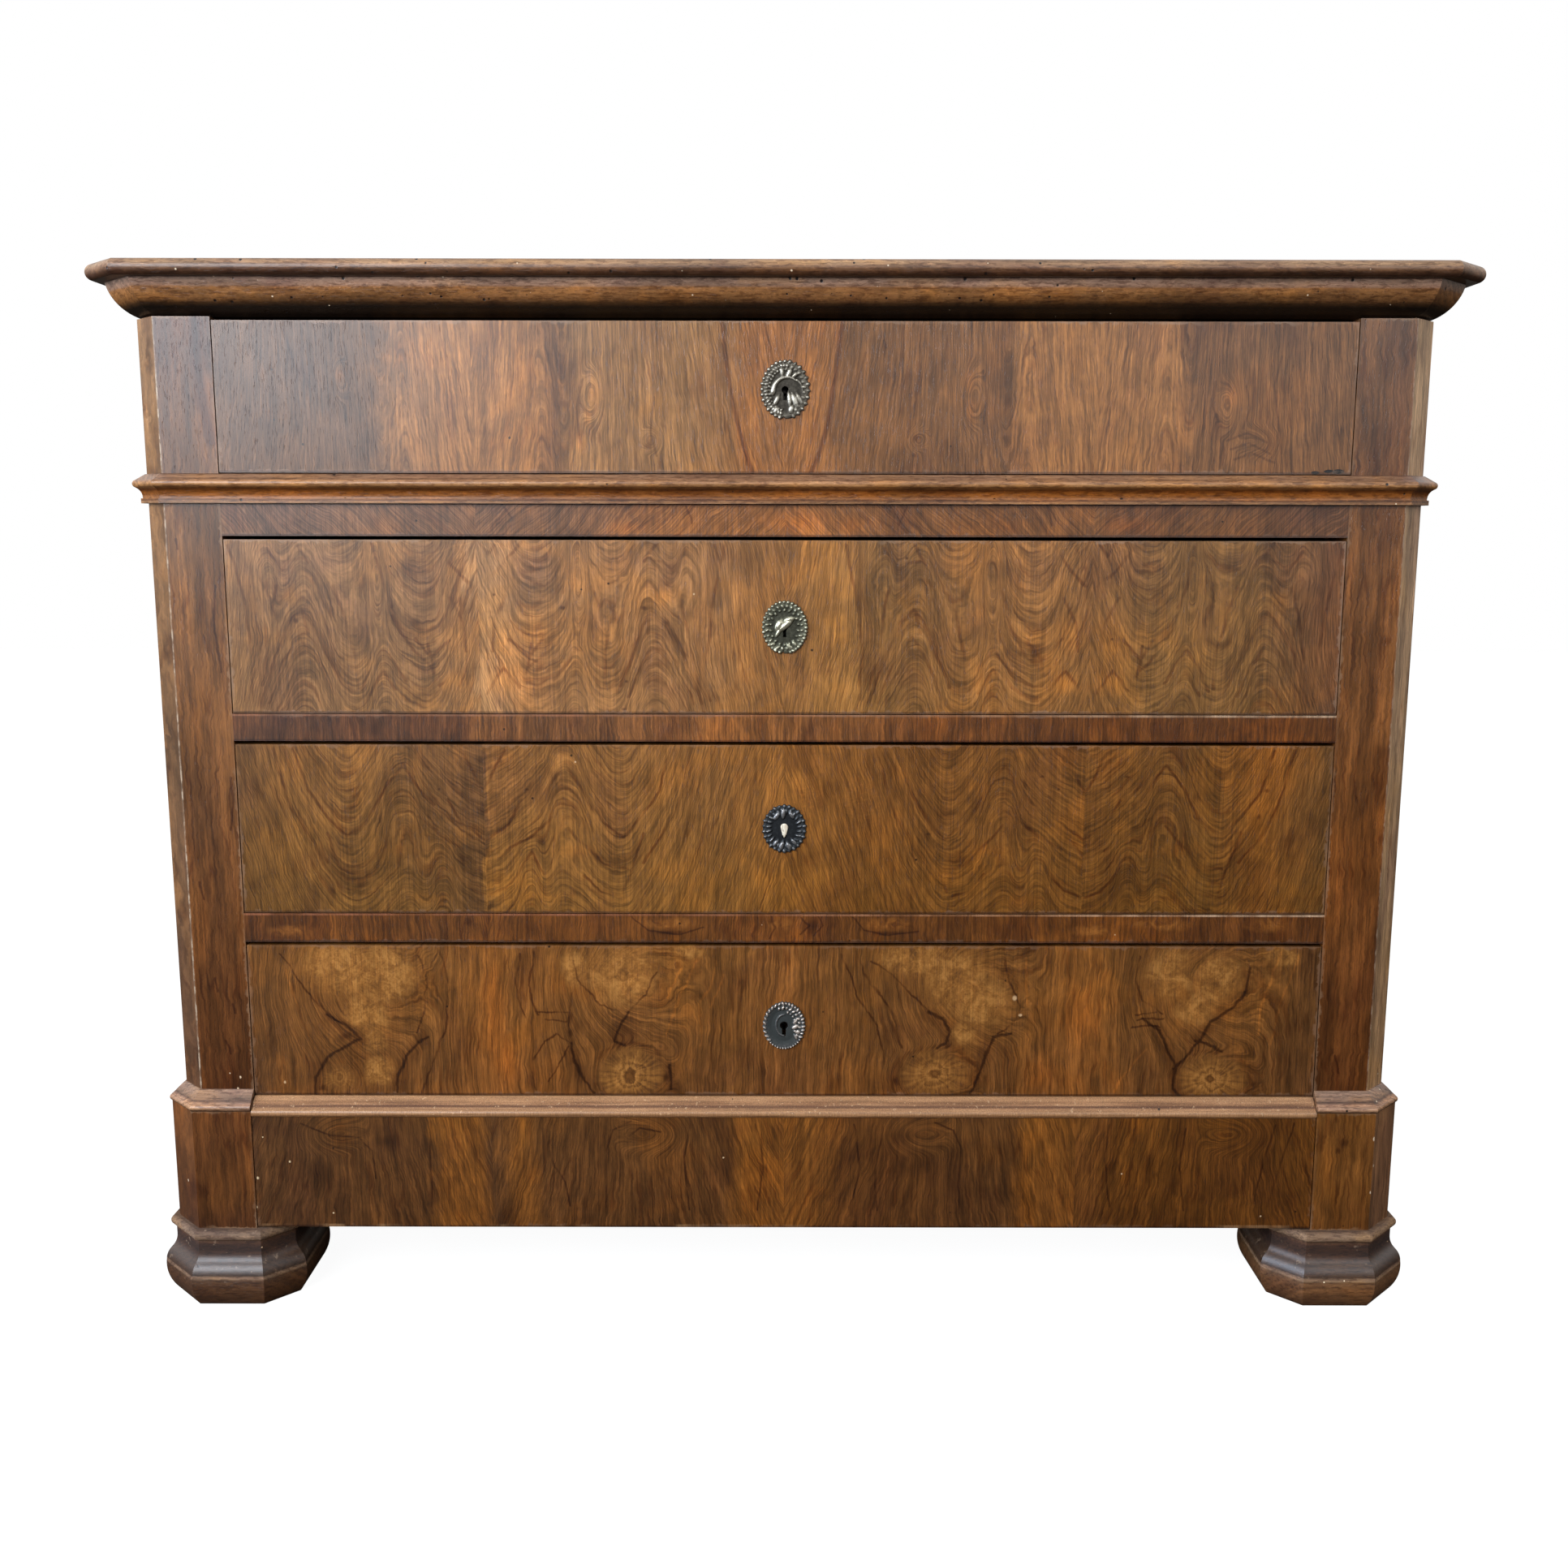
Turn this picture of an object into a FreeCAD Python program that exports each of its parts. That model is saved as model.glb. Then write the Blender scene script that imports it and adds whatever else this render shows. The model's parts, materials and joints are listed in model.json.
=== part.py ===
import FreeCAD, Part
import math
import os

from FreeCAD import Vector

# A walnut chest of drawers, 19th-century commode form: four locked drawers over a hidden
# drawer in the plinth, under a top with an ovolo cornice. Millimetres, +Z up, front towards -Y.
# The origin is on the floor, under the middle of the whole piece.

# Overall sizes
total_height = 984
top_width = 1250
top_depth = 560
board_thickness = 14
board_overhang = 35       # the top board beyond the body, at the front and the sides
board_corner_cut = 36     # its two front corners are cut at 45 degrees
board_nose = 4.5          # how far its moulded edge rounds out

# The body: two stiles with cut corners, two rear posts, and panels between them
stile_width = 74.5
stile_depth = 60
stile_corner_cut = 23
panel_thickness = 16
panel_tongue = 8
panel_tongue_thickness = 6
rear_post_width = 50
rear_post_depth = 45
back_thickness = 10
back_rebate = 15
back_board_count = 6
back_tongue = 4
back_tongue_thickness = 3.4
block_tenon_height = 30
block_tenon_width = 34
block_tenon_depth = 26

# The levels, from the floor up
foot_height = 76
block_height = 120
plinth_level = 131.6      # from the top of the feet to the shelf of the fourth drawer
base_rail_height = 20
plinth_rail_height = 25
lower_rail_height = 28
upper_rail_height = 25.5
waist_rail_height = 56
gap_above_front = 3.2
gap_below_front = 0.8

# Clearances
running_gap = 0.3         # a drawer side over its runner, a bolt in its lock
side_gap = 1              # a drawer front beside the stile, a drawer side beside its guide
joint_gap = 0.1           # a tongue, tenon or dovetail in its socket
stop_gap = 0.3            # a drawer's front before the stops, or the rails, that it closes against
overrun = 5               # every cut runs this far past the face it opens

# Rails
tenon_length = 25
tenon_thickness = 12
tenon_shoulder = 4

# The cornice: one moulded frame between the body and the top board
cornice_height = 30.9
cornice_projection = 23
cornice_tuck = 5
cornice_frame_width = 70
cornice_sweep_shares = (0.72, 0.45)   # outward and upward place of the middle of the ovolo

# The waist moulding under the first drawer
waist_height = 26.5
waist_lip = 6
waist_lip_height = 4.5
waist_cove_start = 4.5
waist_bead = 12.3
waist_bead_height = 6.5
waist_bead_round_share = 1 / 3
waist_top_edge = 1.5
waist_cove_height = 10
waist_cove_shares = (0.18, 0.55)

# The plinth: a block under each stile, a board along each side
block_projection = 13
plinth_moulding_height = 18
plinth_bead = 15
plinth_bead_height = 6.5
plinth_bead_root = 13.2
plinth_slope_foot = 12.4
plinth_slope_top = 1
plinth_slope_shares = (0.56, 0.5)

# The front feet: octagonal, with a rim, a drawn-in neck and a swelling down to a crease
foot_width = 142.5
foot_projection = 27.5    # the crease beyond the body, at the front and the side
foot_outer_cut = 41
foot_inner_cut = 32
foot_crease_height = 31
foot_sole_inset = 8
foot_belly_shares = (0.2, 0.4)
foot_neck_inset = 10.5
foot_neck_height = 56
foot_ogee_shares = ((0.14, 0.26), (0.5, 0.48), (0.86, 0.7))
foot_rim_inset = 6
foot_rim_height = 8
foot_rim_round = 1.6
foot_rim_slope = 1.2
foot_top_inset = 9.5
foot_dowel_radius = 11
foot_dowel_length = 45
foot_hole_depth = 47

# The plain rear feet
rear_foot_width = 76
rear_foot_taper = 7
rear_foot_setback = 3

# Drawer runners and stops
runner_inner_reach = 25   # how far a runner reaches in under the drawer side
guide_height = 15
kicker_height = 22
stop_place = 300          # the stops' distance from the middle
stop_length = 50
stop_width = 20
stop_height = 6

# Drawer boxes
drawer_rear_gap = 2       # a closed drawer before the rear posts
front_thickness = 24
side_thickness = 12
back_panel_thickness = 12
side_drop = 4             # the sides end this far below the top of the front
back_drop = 9             # and the back this far below the sides
tail_length = 16
tail_slope = 1 / 6
tail_width_share = 0.62
tail_spacing = 36         # about one dovetail for this much height
bottom_thickness = 8
bottom_lift = 9           # the underside of the bottom over the lower edge of the sides
bottom_groove = 5
bottom_margin = 0.2

# The plinth drawer
plinth_front_lift = 1.8
plinth_front_thickness = 22
plinth_front_moulding = 16.8
plinth_strip_depth = 17   # the moulding strip, from its bead to the back of its rebate
plinth_front_bead_height = 7

# Locks, from the keyhole's middle
lock_width = 64
lock_thickness = 11
lock_below = 24
lock_wall = 2.2
selvedge_width = 78
selvedge_thickness = 2.5
selvedge_depth = 14
bolt_width = 24
bolt_thickness = 6
bolt_foot = 9             # the bolt's lower end above the keyhole
bolt_travel = 9
bolt_rest_drop = 0.2
key_room = 14
key_pin_radius = 1.8
strike_length = 44
strike_width = 14
strike_thickness = 1.5
strike_margin = 1
bolt_mortise_room = 5      # the mortise is this much deeper than the bolt's travel
keyhole_radius = 3
keyhole_slot = 2.8
keyhole_drop = 9

# Cast brass escutcheons
scallop_count = 20
scallop_share = 0.07
plate_thickness = 1.4
ring_share = 0.82
field_share = 0.62
oval_end_share = 0.85     # the radius at top and bottom, of half the width
ring_rise = 1.6
field_rise = 0.7

# The four locked drawers, from the top: their fronts' heights as shares of the height that is left
# for them, each keyhole's depth as a share of its front's height, and the escutcheons' sizes
drawer_height_shares = (0.2211, 0.264, 0.2673, 0.2476)
keyhole_depth_shares = (0.4478, 0.4969, 0.4908, 0.5265)
plate_widths = (45.5, 43.5, 43, 42.5)
plate_heights = (54, 51, 48, 49.5)

# The turns of a moulded bar about Z, from its own place along the right side
side_turn = 0
front_turn = -90
right_corner_turn = -45
left_corner_turn = -135

# Places worked out from the sizes above
body_half = top_width / 2 - board_overhang
opening_half = body_half - stile_width
front_y = -top_depth / 2 + board_overhang
back_y = top_depth / 2
stile_back_y = front_y + stile_depth
post_front_y = back_y - rear_post_depth
drawer_rear_y = post_front_y - drawer_rear_gap
panel_inner_x = body_half - panel_thickness
foot_top = foot_height
block_top = foot_top + block_height
base_rail_top = foot_top + base_rail_height
plinth_rail_top = foot_top + plinth_level
rail_setback = plinth_front_thickness - block_projection + stop_gap
bolt_mortise_depth = bolt_travel + bolt_mortise_room
mitre_slope = math.tan(math.radians(22.5))
half_root = math.sqrt(0.5)


def plan_drawers():
    """The sizes and levels of each locked drawer: the shelf under it, its front's lower and upper
    edge, the underside of the rail over it, and the middle of its keyhole."""
    rails_above = (0, waist_rail_height, upper_rail_height, lower_rail_height)
    count = len(drawer_height_shares)
    room = total_height - board_thickness - cornice_height - sum(rails_above) - plinth_rail_top
    room -= count * (gap_below_front + gap_above_front)
    drawers = []
    shelf = plinth_rail_top
    for number in reversed(range(count)):
        low = shelf + gap_below_front
        height = room * drawer_height_shares[number] / sum(drawer_height_shares)
        high = low + height
        ceiling = high + gap_above_front
        drawers.insert(0, dict(
            name="drawer_" + str(number + 1), shelf=shelf, low=low, high=high, ceiling=ceiling,
            eye=high - keyhole_depth_shares[number] * height,
            plate_width=plate_widths[number], plate_height=plate_heights[number]))
        shelf = ceiling + rails_above[number]
    return drawers


locked_drawers = plan_drawers()
stile_top = locked_drawers[0]["ceiling"]
waist_top = locked_drawers[0]["shelf"]
board_low = stile_top + cornice_height


def block(x0, x1, y0, y1, z0, z1):
    """A rectangular piece between two corners."""
    corner = Vector(min(x0, x1), min(y0, y1), min(z0, z1))
    return Part.makeBox(abs(x1 - x0), abs(y1 - y0), abs(z1 - z0), corner)


def prism(points, z0, z1):
    """An upright piece with the plan outline given by its corners."""
    ring = [Vector(x, y, z0) for x, y in points]
    return Part.Face(Part.makePolygon(ring + ring[:1])).extrude(Vector(0, 0, z1 - z0))


def stroke_edge(points):
    """A straight edge through two points, or an arc through three."""
    if len(points) == 2:
        return Part.LineSegment(*points).toShape()
    return Part.Arc(*points).toShape()


def mirrored(shape):
    return shape.mirror(Vector(0, 0, 0), Vector(1, 0, 0))


def fused(shapes):
    return shapes[0].fuse(shapes[1:]).removeSplitter()


def save(name, *shapes):
    """One STEP file for a node; several pieces stay separate solids."""
    solids = [solid for shape in shapes for solid in shape.Solids]
    whole = solids[0] if len(solids) == 1 else Part.makeCompound(solids)
    whole.exportStep("parts/" + name + ".step")
    print(name, len(solids), "solids", "valid" if whole.isValid() else "NOT VALID")


def moulded_bar(curve, reach, reach_behind, moulded_behind):
    """A long bar whose side is moulded by strokes of (outward, height) points, from the bottom up."""
    low = curve[0][0][1]
    high = curve[-1][-1][1]
    strokes = [[Vector(reach + out, 0, z) for out, z in stroke] for stroke in curve]
    if moulded_behind:
        behind = [[Vector(-reach_behind - out, 0, z) for out, z in stroke] for stroke in curve]
    else:
        behind = [[Vector(-reach_behind, 0, low), Vector(-reach_behind, 0, high)]]
    caps = [[strokes[0][0], behind[0][0]], [strokes[-1][-1], behind[-1][-1]]]
    edges = [stroke_edge(stroke) for stroke in strokes + behind + caps]
    bar = Part.Face(Part.Wire(Part.__sortEdges__(edges))).extrude(Vector(0, 2 * top_width, 0))
    bar.translate(Vector(0, -top_width, 0))
    return bar


def moulded_solid(curve, bars):
    """Where moulded bars cross, so that every corner is mitred. A bar is its turn about Z, its
    reach, the reach behind it, and whether the face behind is moulded too."""
    solid = None
    for turn, reach, reach_behind, moulded_behind in bars:
        bar = moulded_bar(curve, reach, reach_behind, moulded_behind)
        bar.rotate(Vector(0, 0, 0), Vector(0, 0, 1), turn)
        solid = bar if solid is None else solid.common(bar)
    return solid


def wrapped(curve):
    """The body's plan with its front, cut corners and sides moulded, and a plain back."""
    corner_reach = (body_half - stile_corner_cut - front_y) * half_root
    return moulded_solid(curve, (
        (side_turn, body_half, body_half, True),
        (front_turn, -front_y, back_y, False),
        (right_corner_turn, corner_reach, top_width, False),
        (left_corner_turn, corner_reach, top_width, False)))


def front_arris(out):
    """The plan corner of front and cut corner, on the right, at an offset from the body."""
    return (body_half - stile_corner_cut + out * mitre_slope, front_y - out)


def side_arris(out):
    """The plan corner of cut corner and side, on the right."""
    return (body_half + out, front_y + stile_corner_cut - out * mitre_slope)


def body_prism(out, z0, z1):
    """The body's plan, grown by an offset."""
    right = [front_arris(out), side_arris(out), (body_half + out, back_y)]
    left = [(-x, y) for x, y in reversed(right)]
    return prism(right + left, z0, z1)


# The mitres of a frame that wraps the body meet behind each cut corner
mitre_meeting = stile_corner_cut / (1 - mitre_slope)


def mitre_zones(out, width, z0, z1):
    """The three parts of a mitred frame on the right half: front, cut corner and side."""
    meeting = (body_half - mitre_meeting, front_y + mitre_meeting)
    inner = (body_half - width, front_y + width)
    front = prism([front_arris(out), meeting, inner, (-inner[0], inner[1]), (-meeting[0], meeting[1]),
                   (-front_arris(out)[0], front_arris(out)[1])], z0, z1)
    corner = prism([front_arris(out), meeting, side_arris(out), (body_half + out, front_y - out)], z0, z1)
    side = prism([side_arris(out), meeting, inner, (inner[0], back_y), (body_half + out, back_y)], z0, z1)
    return front, corner, side


def make_top_board():
    middle = board_low + board_thickness / 2
    curve = [[(-board_nose, board_low), (0, middle), (-board_nose, total_height)]]
    half = top_width / 2
    corner_reach = (half - board_corner_cut + top_depth / 2) * half_root
    save("top_board", moulded_solid(curve, (
        (side_turn, half, half, True),
        (front_turn, top_depth / 2, back_y, False),
        (right_corner_turn, corner_reach, top_width, False),
        (left_corner_turn, corner_reach, top_width, False))))


def bolt_slot(margin, low, high):
    """The bolt's upright path, grown by a margin."""
    y = bolt_back_y() - bolt_thickness
    return block(-bolt_width / 2 - margin, bolt_width / 2 + margin,
                 y - margin, bolt_back_y() + margin, low, high)


def bolt_back_y():
    """The back of the bolt: behind the middle of the lock, inside its rear wall."""
    return front_y + front_thickness - lock_wall


def strike_cut(drawer):
    """What a strike plate and its mortise take out of the rail over a drawer."""
    ceiling = drawer["ceiling"]
    plate = strike_blank(drawer, joint_gap)
    return plate.fuse(bolt_slot(strike_margin, ceiling - overrun, ceiling + bolt_mortise_depth))


def strike_blank(drawer, margin):
    """A strike plate's outline, flush with the underside of its rail."""
    middle = bolt_back_y() - bolt_thickness / 2
    ceiling = drawer["ceiling"]
    return block(-strike_length / 2 - margin, strike_length / 2 + margin,
                 middle - strike_width / 2 - margin, middle + strike_width / 2 + margin,
                 ceiling - margin, ceiling + strike_thickness + margin)


def make_strike_plates():
    plates = []
    for drawer in locked_drawers:
        ceiling = drawer["ceiling"]
        slot = bolt_slot(strike_margin, ceiling - overrun, ceiling + bolt_mortise_depth)
        plates.append(strike_blank(drawer, 0).cut(slot))
    save("strike_plates", *plates)


def back_recess():
    """The rebate that the upper ends of the back boards stand in."""
    half = body_half - rear_post_width + back_rebate
    return block(-half, half, back_y - back_thickness, back_y + overrun,
                 stile_top - overrun, stile_top + back_rebate)


def make_cornice():
    """An ovolo, mitred round the cut corners, on a flat frame that carries the top board."""
    across = cornice_projection + cornice_tuck
    middle = (cornice_sweep_shares[0] * across - cornice_tuck,
              stile_top + cornice_sweep_shares[1] * cornice_height)
    curve = [[(-cornice_tuck, stile_top), middle, (cornice_projection, board_low)]]
    inner = body_half - cornice_frame_width
    hollow = block(-inner, inner, front_y + cornice_frame_width, back_y + overrun,
                   stile_top - overrun, total_height)
    ring = wrapped(curve).cut([hollow, back_recess()])
    front, corner, side = mitre_zones(board_overhang, cornice_frame_width, stile_top, board_low)
    save("cornice_front", ring.common(front).cut(strike_cut(locked_drawers[0])))
    right = [ring.common(corner), ring.common(side)]
    save("cornice_right", *right)
    save("cornice_left", *[mirrored(piece) for piece in right])


def tenon(rail_low, rail_high, face_y, depth, inner_x, margin):
    """The right-hand tenon of a rail, grown by a margin to give its mortise."""
    middle = face_y + depth / 2
    return block(inner_x - overrun, inner_x + tenon_length + margin,
                 middle - tenon_thickness / 2 - margin, middle + tenon_thickness / 2 + margin,
                 rail_low + tenon_shoulder - margin, rail_high - tenon_shoulder + margin)


def front_rails():
    """Each front rail: its name, underside, top, front face and depth."""
    first, second, third, fourth = locked_drawers
    hidden_y = front_y + rail_setback
    hidden_depth = stile_depth - rail_setback
    return (
        ("waist_rail", second["ceiling"], first["shelf"], front_y, stile_depth),
        ("upper_rail", third["ceiling"], second["shelf"], front_y, stile_depth),
        ("lower_rail", fourth["ceiling"], third["shelf"], front_y, stile_depth),
        ("plinth_rail", plinth_rail_top - plinth_rail_height, plinth_rail_top, hidden_y, hidden_depth),
        ("base_rail", foot_top, base_rail_top, hidden_y, hidden_depth),
    )


def make_rails():
    """Rails tenoned between the stiles, with a strike plate let in over each locked drawer."""
    pieces = {}
    for name, low, high, face_y, depth in front_rails():
        rail = block(-opening_half, opening_half, face_y, face_y + depth, low, high)
        peg = tenon(low, high, face_y, depth, opening_half, 0)
        rail = fused([rail, peg, mirrored(peg)])
        for drawer in locked_drawers[1:]:
            if drawer["ceiling"] == low:
                rail = rail.cut(strike_cut(drawer))
        pieces[name] = rail
    save("waist_rail", pieces["waist_rail"])
    save("drawer_rails", pieces["upper_rail"], pieces["lower_rail"])
    save("plinth_rails", pieces["plinth_rail"], pieces["base_rail"])
    rear_x = body_half - rear_post_width
    base = block(-rear_x, rear_x, post_front_y, back_y - back_thickness, foot_top, base_rail_top)
    top_x = body_half - cornice_frame_width
    top = block(-top_x, top_x, post_front_y, back_y, stile_top, board_low).cut(back_recess())
    save("rear_rails", top, base)


def panel_tongue_bar(y, margin, low):
    """A side panel's tongue at one of its upright edges, grown by a margin to give the groove."""
    middle = body_half - panel_thickness / 2
    return block(middle - panel_tongue_thickness / 2 - margin, middle + panel_tongue_thickness / 2 + margin,
                 y - panel_tongue - margin, y + panel_tongue + margin, low - margin, stile_top + margin)


def block_tenon(margin):
    """The stile's tenon down into its plinth block."""
    middle_x = (opening_half + body_half) / 2
    middle_y = front_y + stile_depth / 2
    return block(middle_x - block_tenon_width / 2 - margin, middle_x + block_tenon_width / 2 + margin,
                 middle_y - block_tenon_depth / 2 - margin, middle_y + block_tenon_depth / 2 + margin,
                 block_top - block_tenon_height - margin, block_top + margin)


def make_posts():
    """Stiles with cut corners on their plinth blocks, and plain rear posts rebated for the back."""
    cell = block(opening_half, top_width, front_y - board_overhang, stile_back_y, foot_top, stile_top)
    groove = panel_tongue_bar(stile_back_y, joint_gap, foot_top)
    stile = body_prism(0, block_top, stile_top).common(cell).fuse(block_tenon(0)).cut(groove)
    plinth_block = body_prism(block_projection, foot_top, block_top).common(cell).cut(block_tenon(joint_gap))
    plinth_block = plinth_block.cut([groove, foot_dowel(front_dowel_place(), foot_hole_depth, joint_gap)])
    for name, low, high, face_y, depth in front_rails():
        mortise = tenon(low, high, face_y, depth, opening_half, joint_gap)
        stile = stile.cut(mortise)
        plinth_block = plinth_block.cut(mortise)
    save("stile_right", stile)
    save("stile_left", mirrored(stile))
    save("plinth_block_right", plinth_block)
    save("plinth_block_left", mirrored(plinth_block))
    post_inner = body_half - rear_post_width
    post = block(post_inner, body_half, post_front_y, back_y, foot_top, stile_top)
    rebate = block(post_inner - overrun, post_inner + back_rebate, back_y - back_thickness,
                   back_y + overrun, foot_top - overrun, stile_top + overrun)
    groove = panel_tongue_bar(post_front_y, joint_gap, foot_top)
    post = post.cut([rebate, groove, foot_dowel(rear_dowel_place(), foot_hole_depth, joint_gap)])
    save("rear_posts", post, mirrored(post))


def make_side_panels():
    """A panel tongued between stile and rear post, and the plinth board outside it."""
    panel = block(panel_inner_x, body_half, stile_back_y, post_front_y, foot_top, stile_top)
    tongues = [panel_tongue_bar(y, 0, foot_top) for y in (stile_back_y, post_front_y)]
    panel = fused([panel] + tongues)
    save("side_panel_right", panel)
    save("side_panel_left", mirrored(panel))
    board = block(body_half, body_half + block_projection, stile_back_y, back_y, foot_top, block_top)
    save("plinth_sides", board, mirrored(board))


def make_back():
    """Upright boards, tongued and grooved, in the rebates of the posts and the top rear rail."""
    half = body_half - rear_post_width + back_rebate - joint_gap
    width = 2 * half / back_board_count
    front = back_y - back_thickness
    middle = back_y - back_thickness / 2
    low = foot_top
    high = stile_top + back_rebate - joint_gap
    boards = []
    for number in range(back_board_count):
        left = -half + number * width
        right = left + width
        board = block(left + joint_gap, right - joint_gap, front + joint_gap, back_y, low, high)
        if number < back_board_count - 1:
            tongue = block(right - overrun, right + back_tongue, middle - back_tongue_thickness / 2,
                           middle + back_tongue_thickness / 2, low, high)
            board = board.fuse(tongue)
        if number > 0:
            groove = block(left - overrun, left + back_tongue + joint_gap,
                           middle - back_tongue_thickness / 2 - joint_gap,
                           middle + back_tongue_thickness / 2 + joint_gap, low - overrun, high + overrun)
            board = board.cut(groove)
        boards.append(board.removeSplitter())
    save("back_boards", *boards)


def waist_curve():
    """From the bottom up: a lip, a cove, a bead and a slope back to the body."""
    low = waist_top - waist_height
    lip_top = low + waist_lip_height
    cove_top = lip_top + waist_cove_height
    bead_top = cove_top + waist_bead_height
    bead_root = waist_bead - waist_bead_round_share * waist_bead_height
    cove_out = waist_cove_start + waist_cove_shares[0] * (bead_root - waist_cove_start)
    cove_mid = (cove_out, lip_top + waist_cove_shares[1] * waist_cove_height)
    return [
        [(waist_lip, low), (waist_lip, lip_top)],
        [(waist_lip, lip_top), (waist_cove_start, lip_top)],
        [(waist_cove_start, lip_top), cove_mid, (bead_root, cove_top)],
        [(bead_root, cove_top), (waist_bead, (cove_top + bead_top) / 2), (bead_root, bead_top)],
        [(bead_root, bead_top), (waist_top_edge, waist_top)],
    ]


def plinth_curve(low, height, bead_height):
    """From the bottom up: a bead and a slightly full slope back to the body."""
    bead_top = low + bead_height
    run = plinth_slope_foot - plinth_slope_top
    middle = (plinth_slope_top + plinth_slope_shares[0] * run,
              bead_top + plinth_slope_shares[1] * (height - bead_height))
    return [
        [(plinth_bead_root, low), (plinth_bead, low + bead_height / 2), (plinth_bead_root, bead_top)],
        [(plinth_bead_root, bead_top), (plinth_slope_foot, bead_top)],
        [(plinth_slope_foot, bead_top), middle, (plinth_slope_top, low + height)],
    ]


def make_applied_mouldings():
    """The waist and plinth mouldings, mitred round the cut corners."""
    low = waist_top - waist_height
    ring = wrapped(waist_curve()).cut(body_prism(0, low - overrun, waist_top + overrun))
    front, corner, side = mitre_zones(board_overhang, cornice_frame_width, low, waist_top)
    save("waist_moulding_front", ring.common(front))
    right = [ring.common(corner), ring.common(side)]
    save("waist_moulding_right", *right)
    save("waist_moulding_left", *[mirrored(piece) for piece in right])

    high = block_top + plinth_moulding_height
    ring = wrapped(plinth_curve(block_top, plinth_moulding_height, plinth_bead_height))
    ring = ring.cut(body_prism(0, block_top - overrun, high + overrun))
    front, corner, side = mitre_zones(board_overhang, cornice_frame_width, block_top, high)
    cell = block(opening_half, top_width, front_y - board_overhang, back_y, block_top, high)
    right = [ring.common(front).common(cell), ring.common(corner), ring.common(side)]
    save("plinth_moulding_right", *right)
    save("plinth_moulding_left", *[mirrored(piece) for piece in right])


def foot_curve():
    """From the floor up: belly, crease, ogee, neck and rim, inset from the crease."""
    ogee = [(0, foot_crease_height)]
    for out_share, up_share in foot_ogee_shares:
        rise = foot_neck_height - foot_crease_height
        ogee.append((-out_share * foot_neck_inset, foot_crease_height + up_share * rise))
    ogee.append((-foot_neck_inset, foot_neck_height))
    belly = (-foot_belly_shares[0] * foot_sole_inset, foot_belly_shares[1] * foot_crease_height)
    rim_low = foot_height - foot_rim_height - foot_rim_slope
    rim_high = foot_height - foot_rim_slope
    rim_root = -foot_rim_inset - foot_rim_round
    return [
        [(-foot_sole_inset, 0), belly, ogee[0]],
        [ogee[0], ogee[1], ogee[2]],
        [ogee[2], ogee[3], ogee[4]],
        [ogee[4], (-foot_neck_inset, rim_low)],
        [(-foot_neck_inset, rim_low), (rim_root, rim_low)],
        [(rim_root, rim_low), (-foot_rim_inset, (rim_low + rim_high) / 2), (rim_root, rim_high)],
        [(rim_root, rim_high), (-foot_top_inset, foot_height)],
    ]


def front_dowel_place():
    return Vector(body_half - stile_corner_cut, front_y + stile_depth / 2, foot_top)


def rear_dowel_place():
    return Vector(body_half - rear_post_width / 2, back_y - rear_post_depth / 2, foot_top)


def foot_dowel(place, length, margin):
    """The dowel that holds a foot in the post or block over it, grown by a margin for its hole."""
    return Part.makeCylinder(foot_dowel_radius + margin, length, place, Vector(0, 0, 1))


def make_feet():
    """Octagonal front feet, mitred all round, and plain tapered feet at the back."""
    half = foot_width / 2
    outer = (2 * half - foot_outer_cut) * half_root
    inner = (2 * half - foot_inner_cut) * half_root
    foot = moulded_solid(foot_curve(), (
        (side_turn, half, half, True),
        (front_turn, half, half, True),
        (right_corner_turn, outer, inner, True),
        (left_corner_turn, inner, inner, True)))
    foot.translate(Vector(body_half + foot_projection - half, front_y - foot_projection + half, 0))
    foot = foot.fuse(foot_dowel(front_dowel_place(), foot_dowel_length, 0))
    save("front_foot_right", foot)
    save("front_foot_left", mirrored(foot))
    half = rear_foot_width / 2
    curve = [[(-rear_foot_taper, 0), (0, foot_height)]]
    foot = moulded_solid(curve, ((side_turn, half, half, True), (front_turn, half, half, False)))
    foot.translate(Vector(body_half + block_projection - rear_foot_setback - half,
                          back_y - rear_foot_setback - half, 0))
    foot = foot.fuse(foot_dowel(rear_dowel_place(), foot_dowel_length, 0))
    save("rear_feet", foot, mirrored(foot))


def make_runners():
    """A runner and a guide on it at each side of each drawer, and kickers over the top one."""
    shelves = [(drawer["shelf"], ceiling) for drawer, ceiling in zip(
        locked_drawers, [drawer["ceiling"] for drawer in locked_drawers[1:]])]
    shelves.append((plinth_rail_top, plinth_rail_top - plinth_rail_height))
    shelves.append((base_rail_top, foot_top))
    inner = opening_half - runner_inner_reach
    pieces = []
    for shelf, underside in shelves:
        runner = block(inner, panel_inner_x, stile_back_y, post_front_y, underside, shelf)
        guide = block(opening_half, panel_inner_x, stile_back_y, post_front_y, shelf, shelf + guide_height)
        pieces += [runner, guide]
    kicker = block(inner, body_half - cornice_frame_width, front_y + cornice_frame_width, post_front_y,
                   stile_top, stile_top + kicker_height)
    pieces.append(kicker)
    save("drawer_runners", *(pieces + [mirrored(piece) for piece in pieces]))


def make_stops():
    """Two low blocks on the rail under each locked drawer, which its front closes against."""
    front = front_y + front_thickness + stop_gap
    stops = []
    for drawer in locked_drawers:
        stops.append(block(stop_place - stop_length / 2, stop_place + stop_length / 2,
                           front, front + stop_width, drawer["shelf"], drawer["shelf"] + stop_height))
    save("drawer_stops", *(stops + [mirrored(stop) for stop in stops]))


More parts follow.
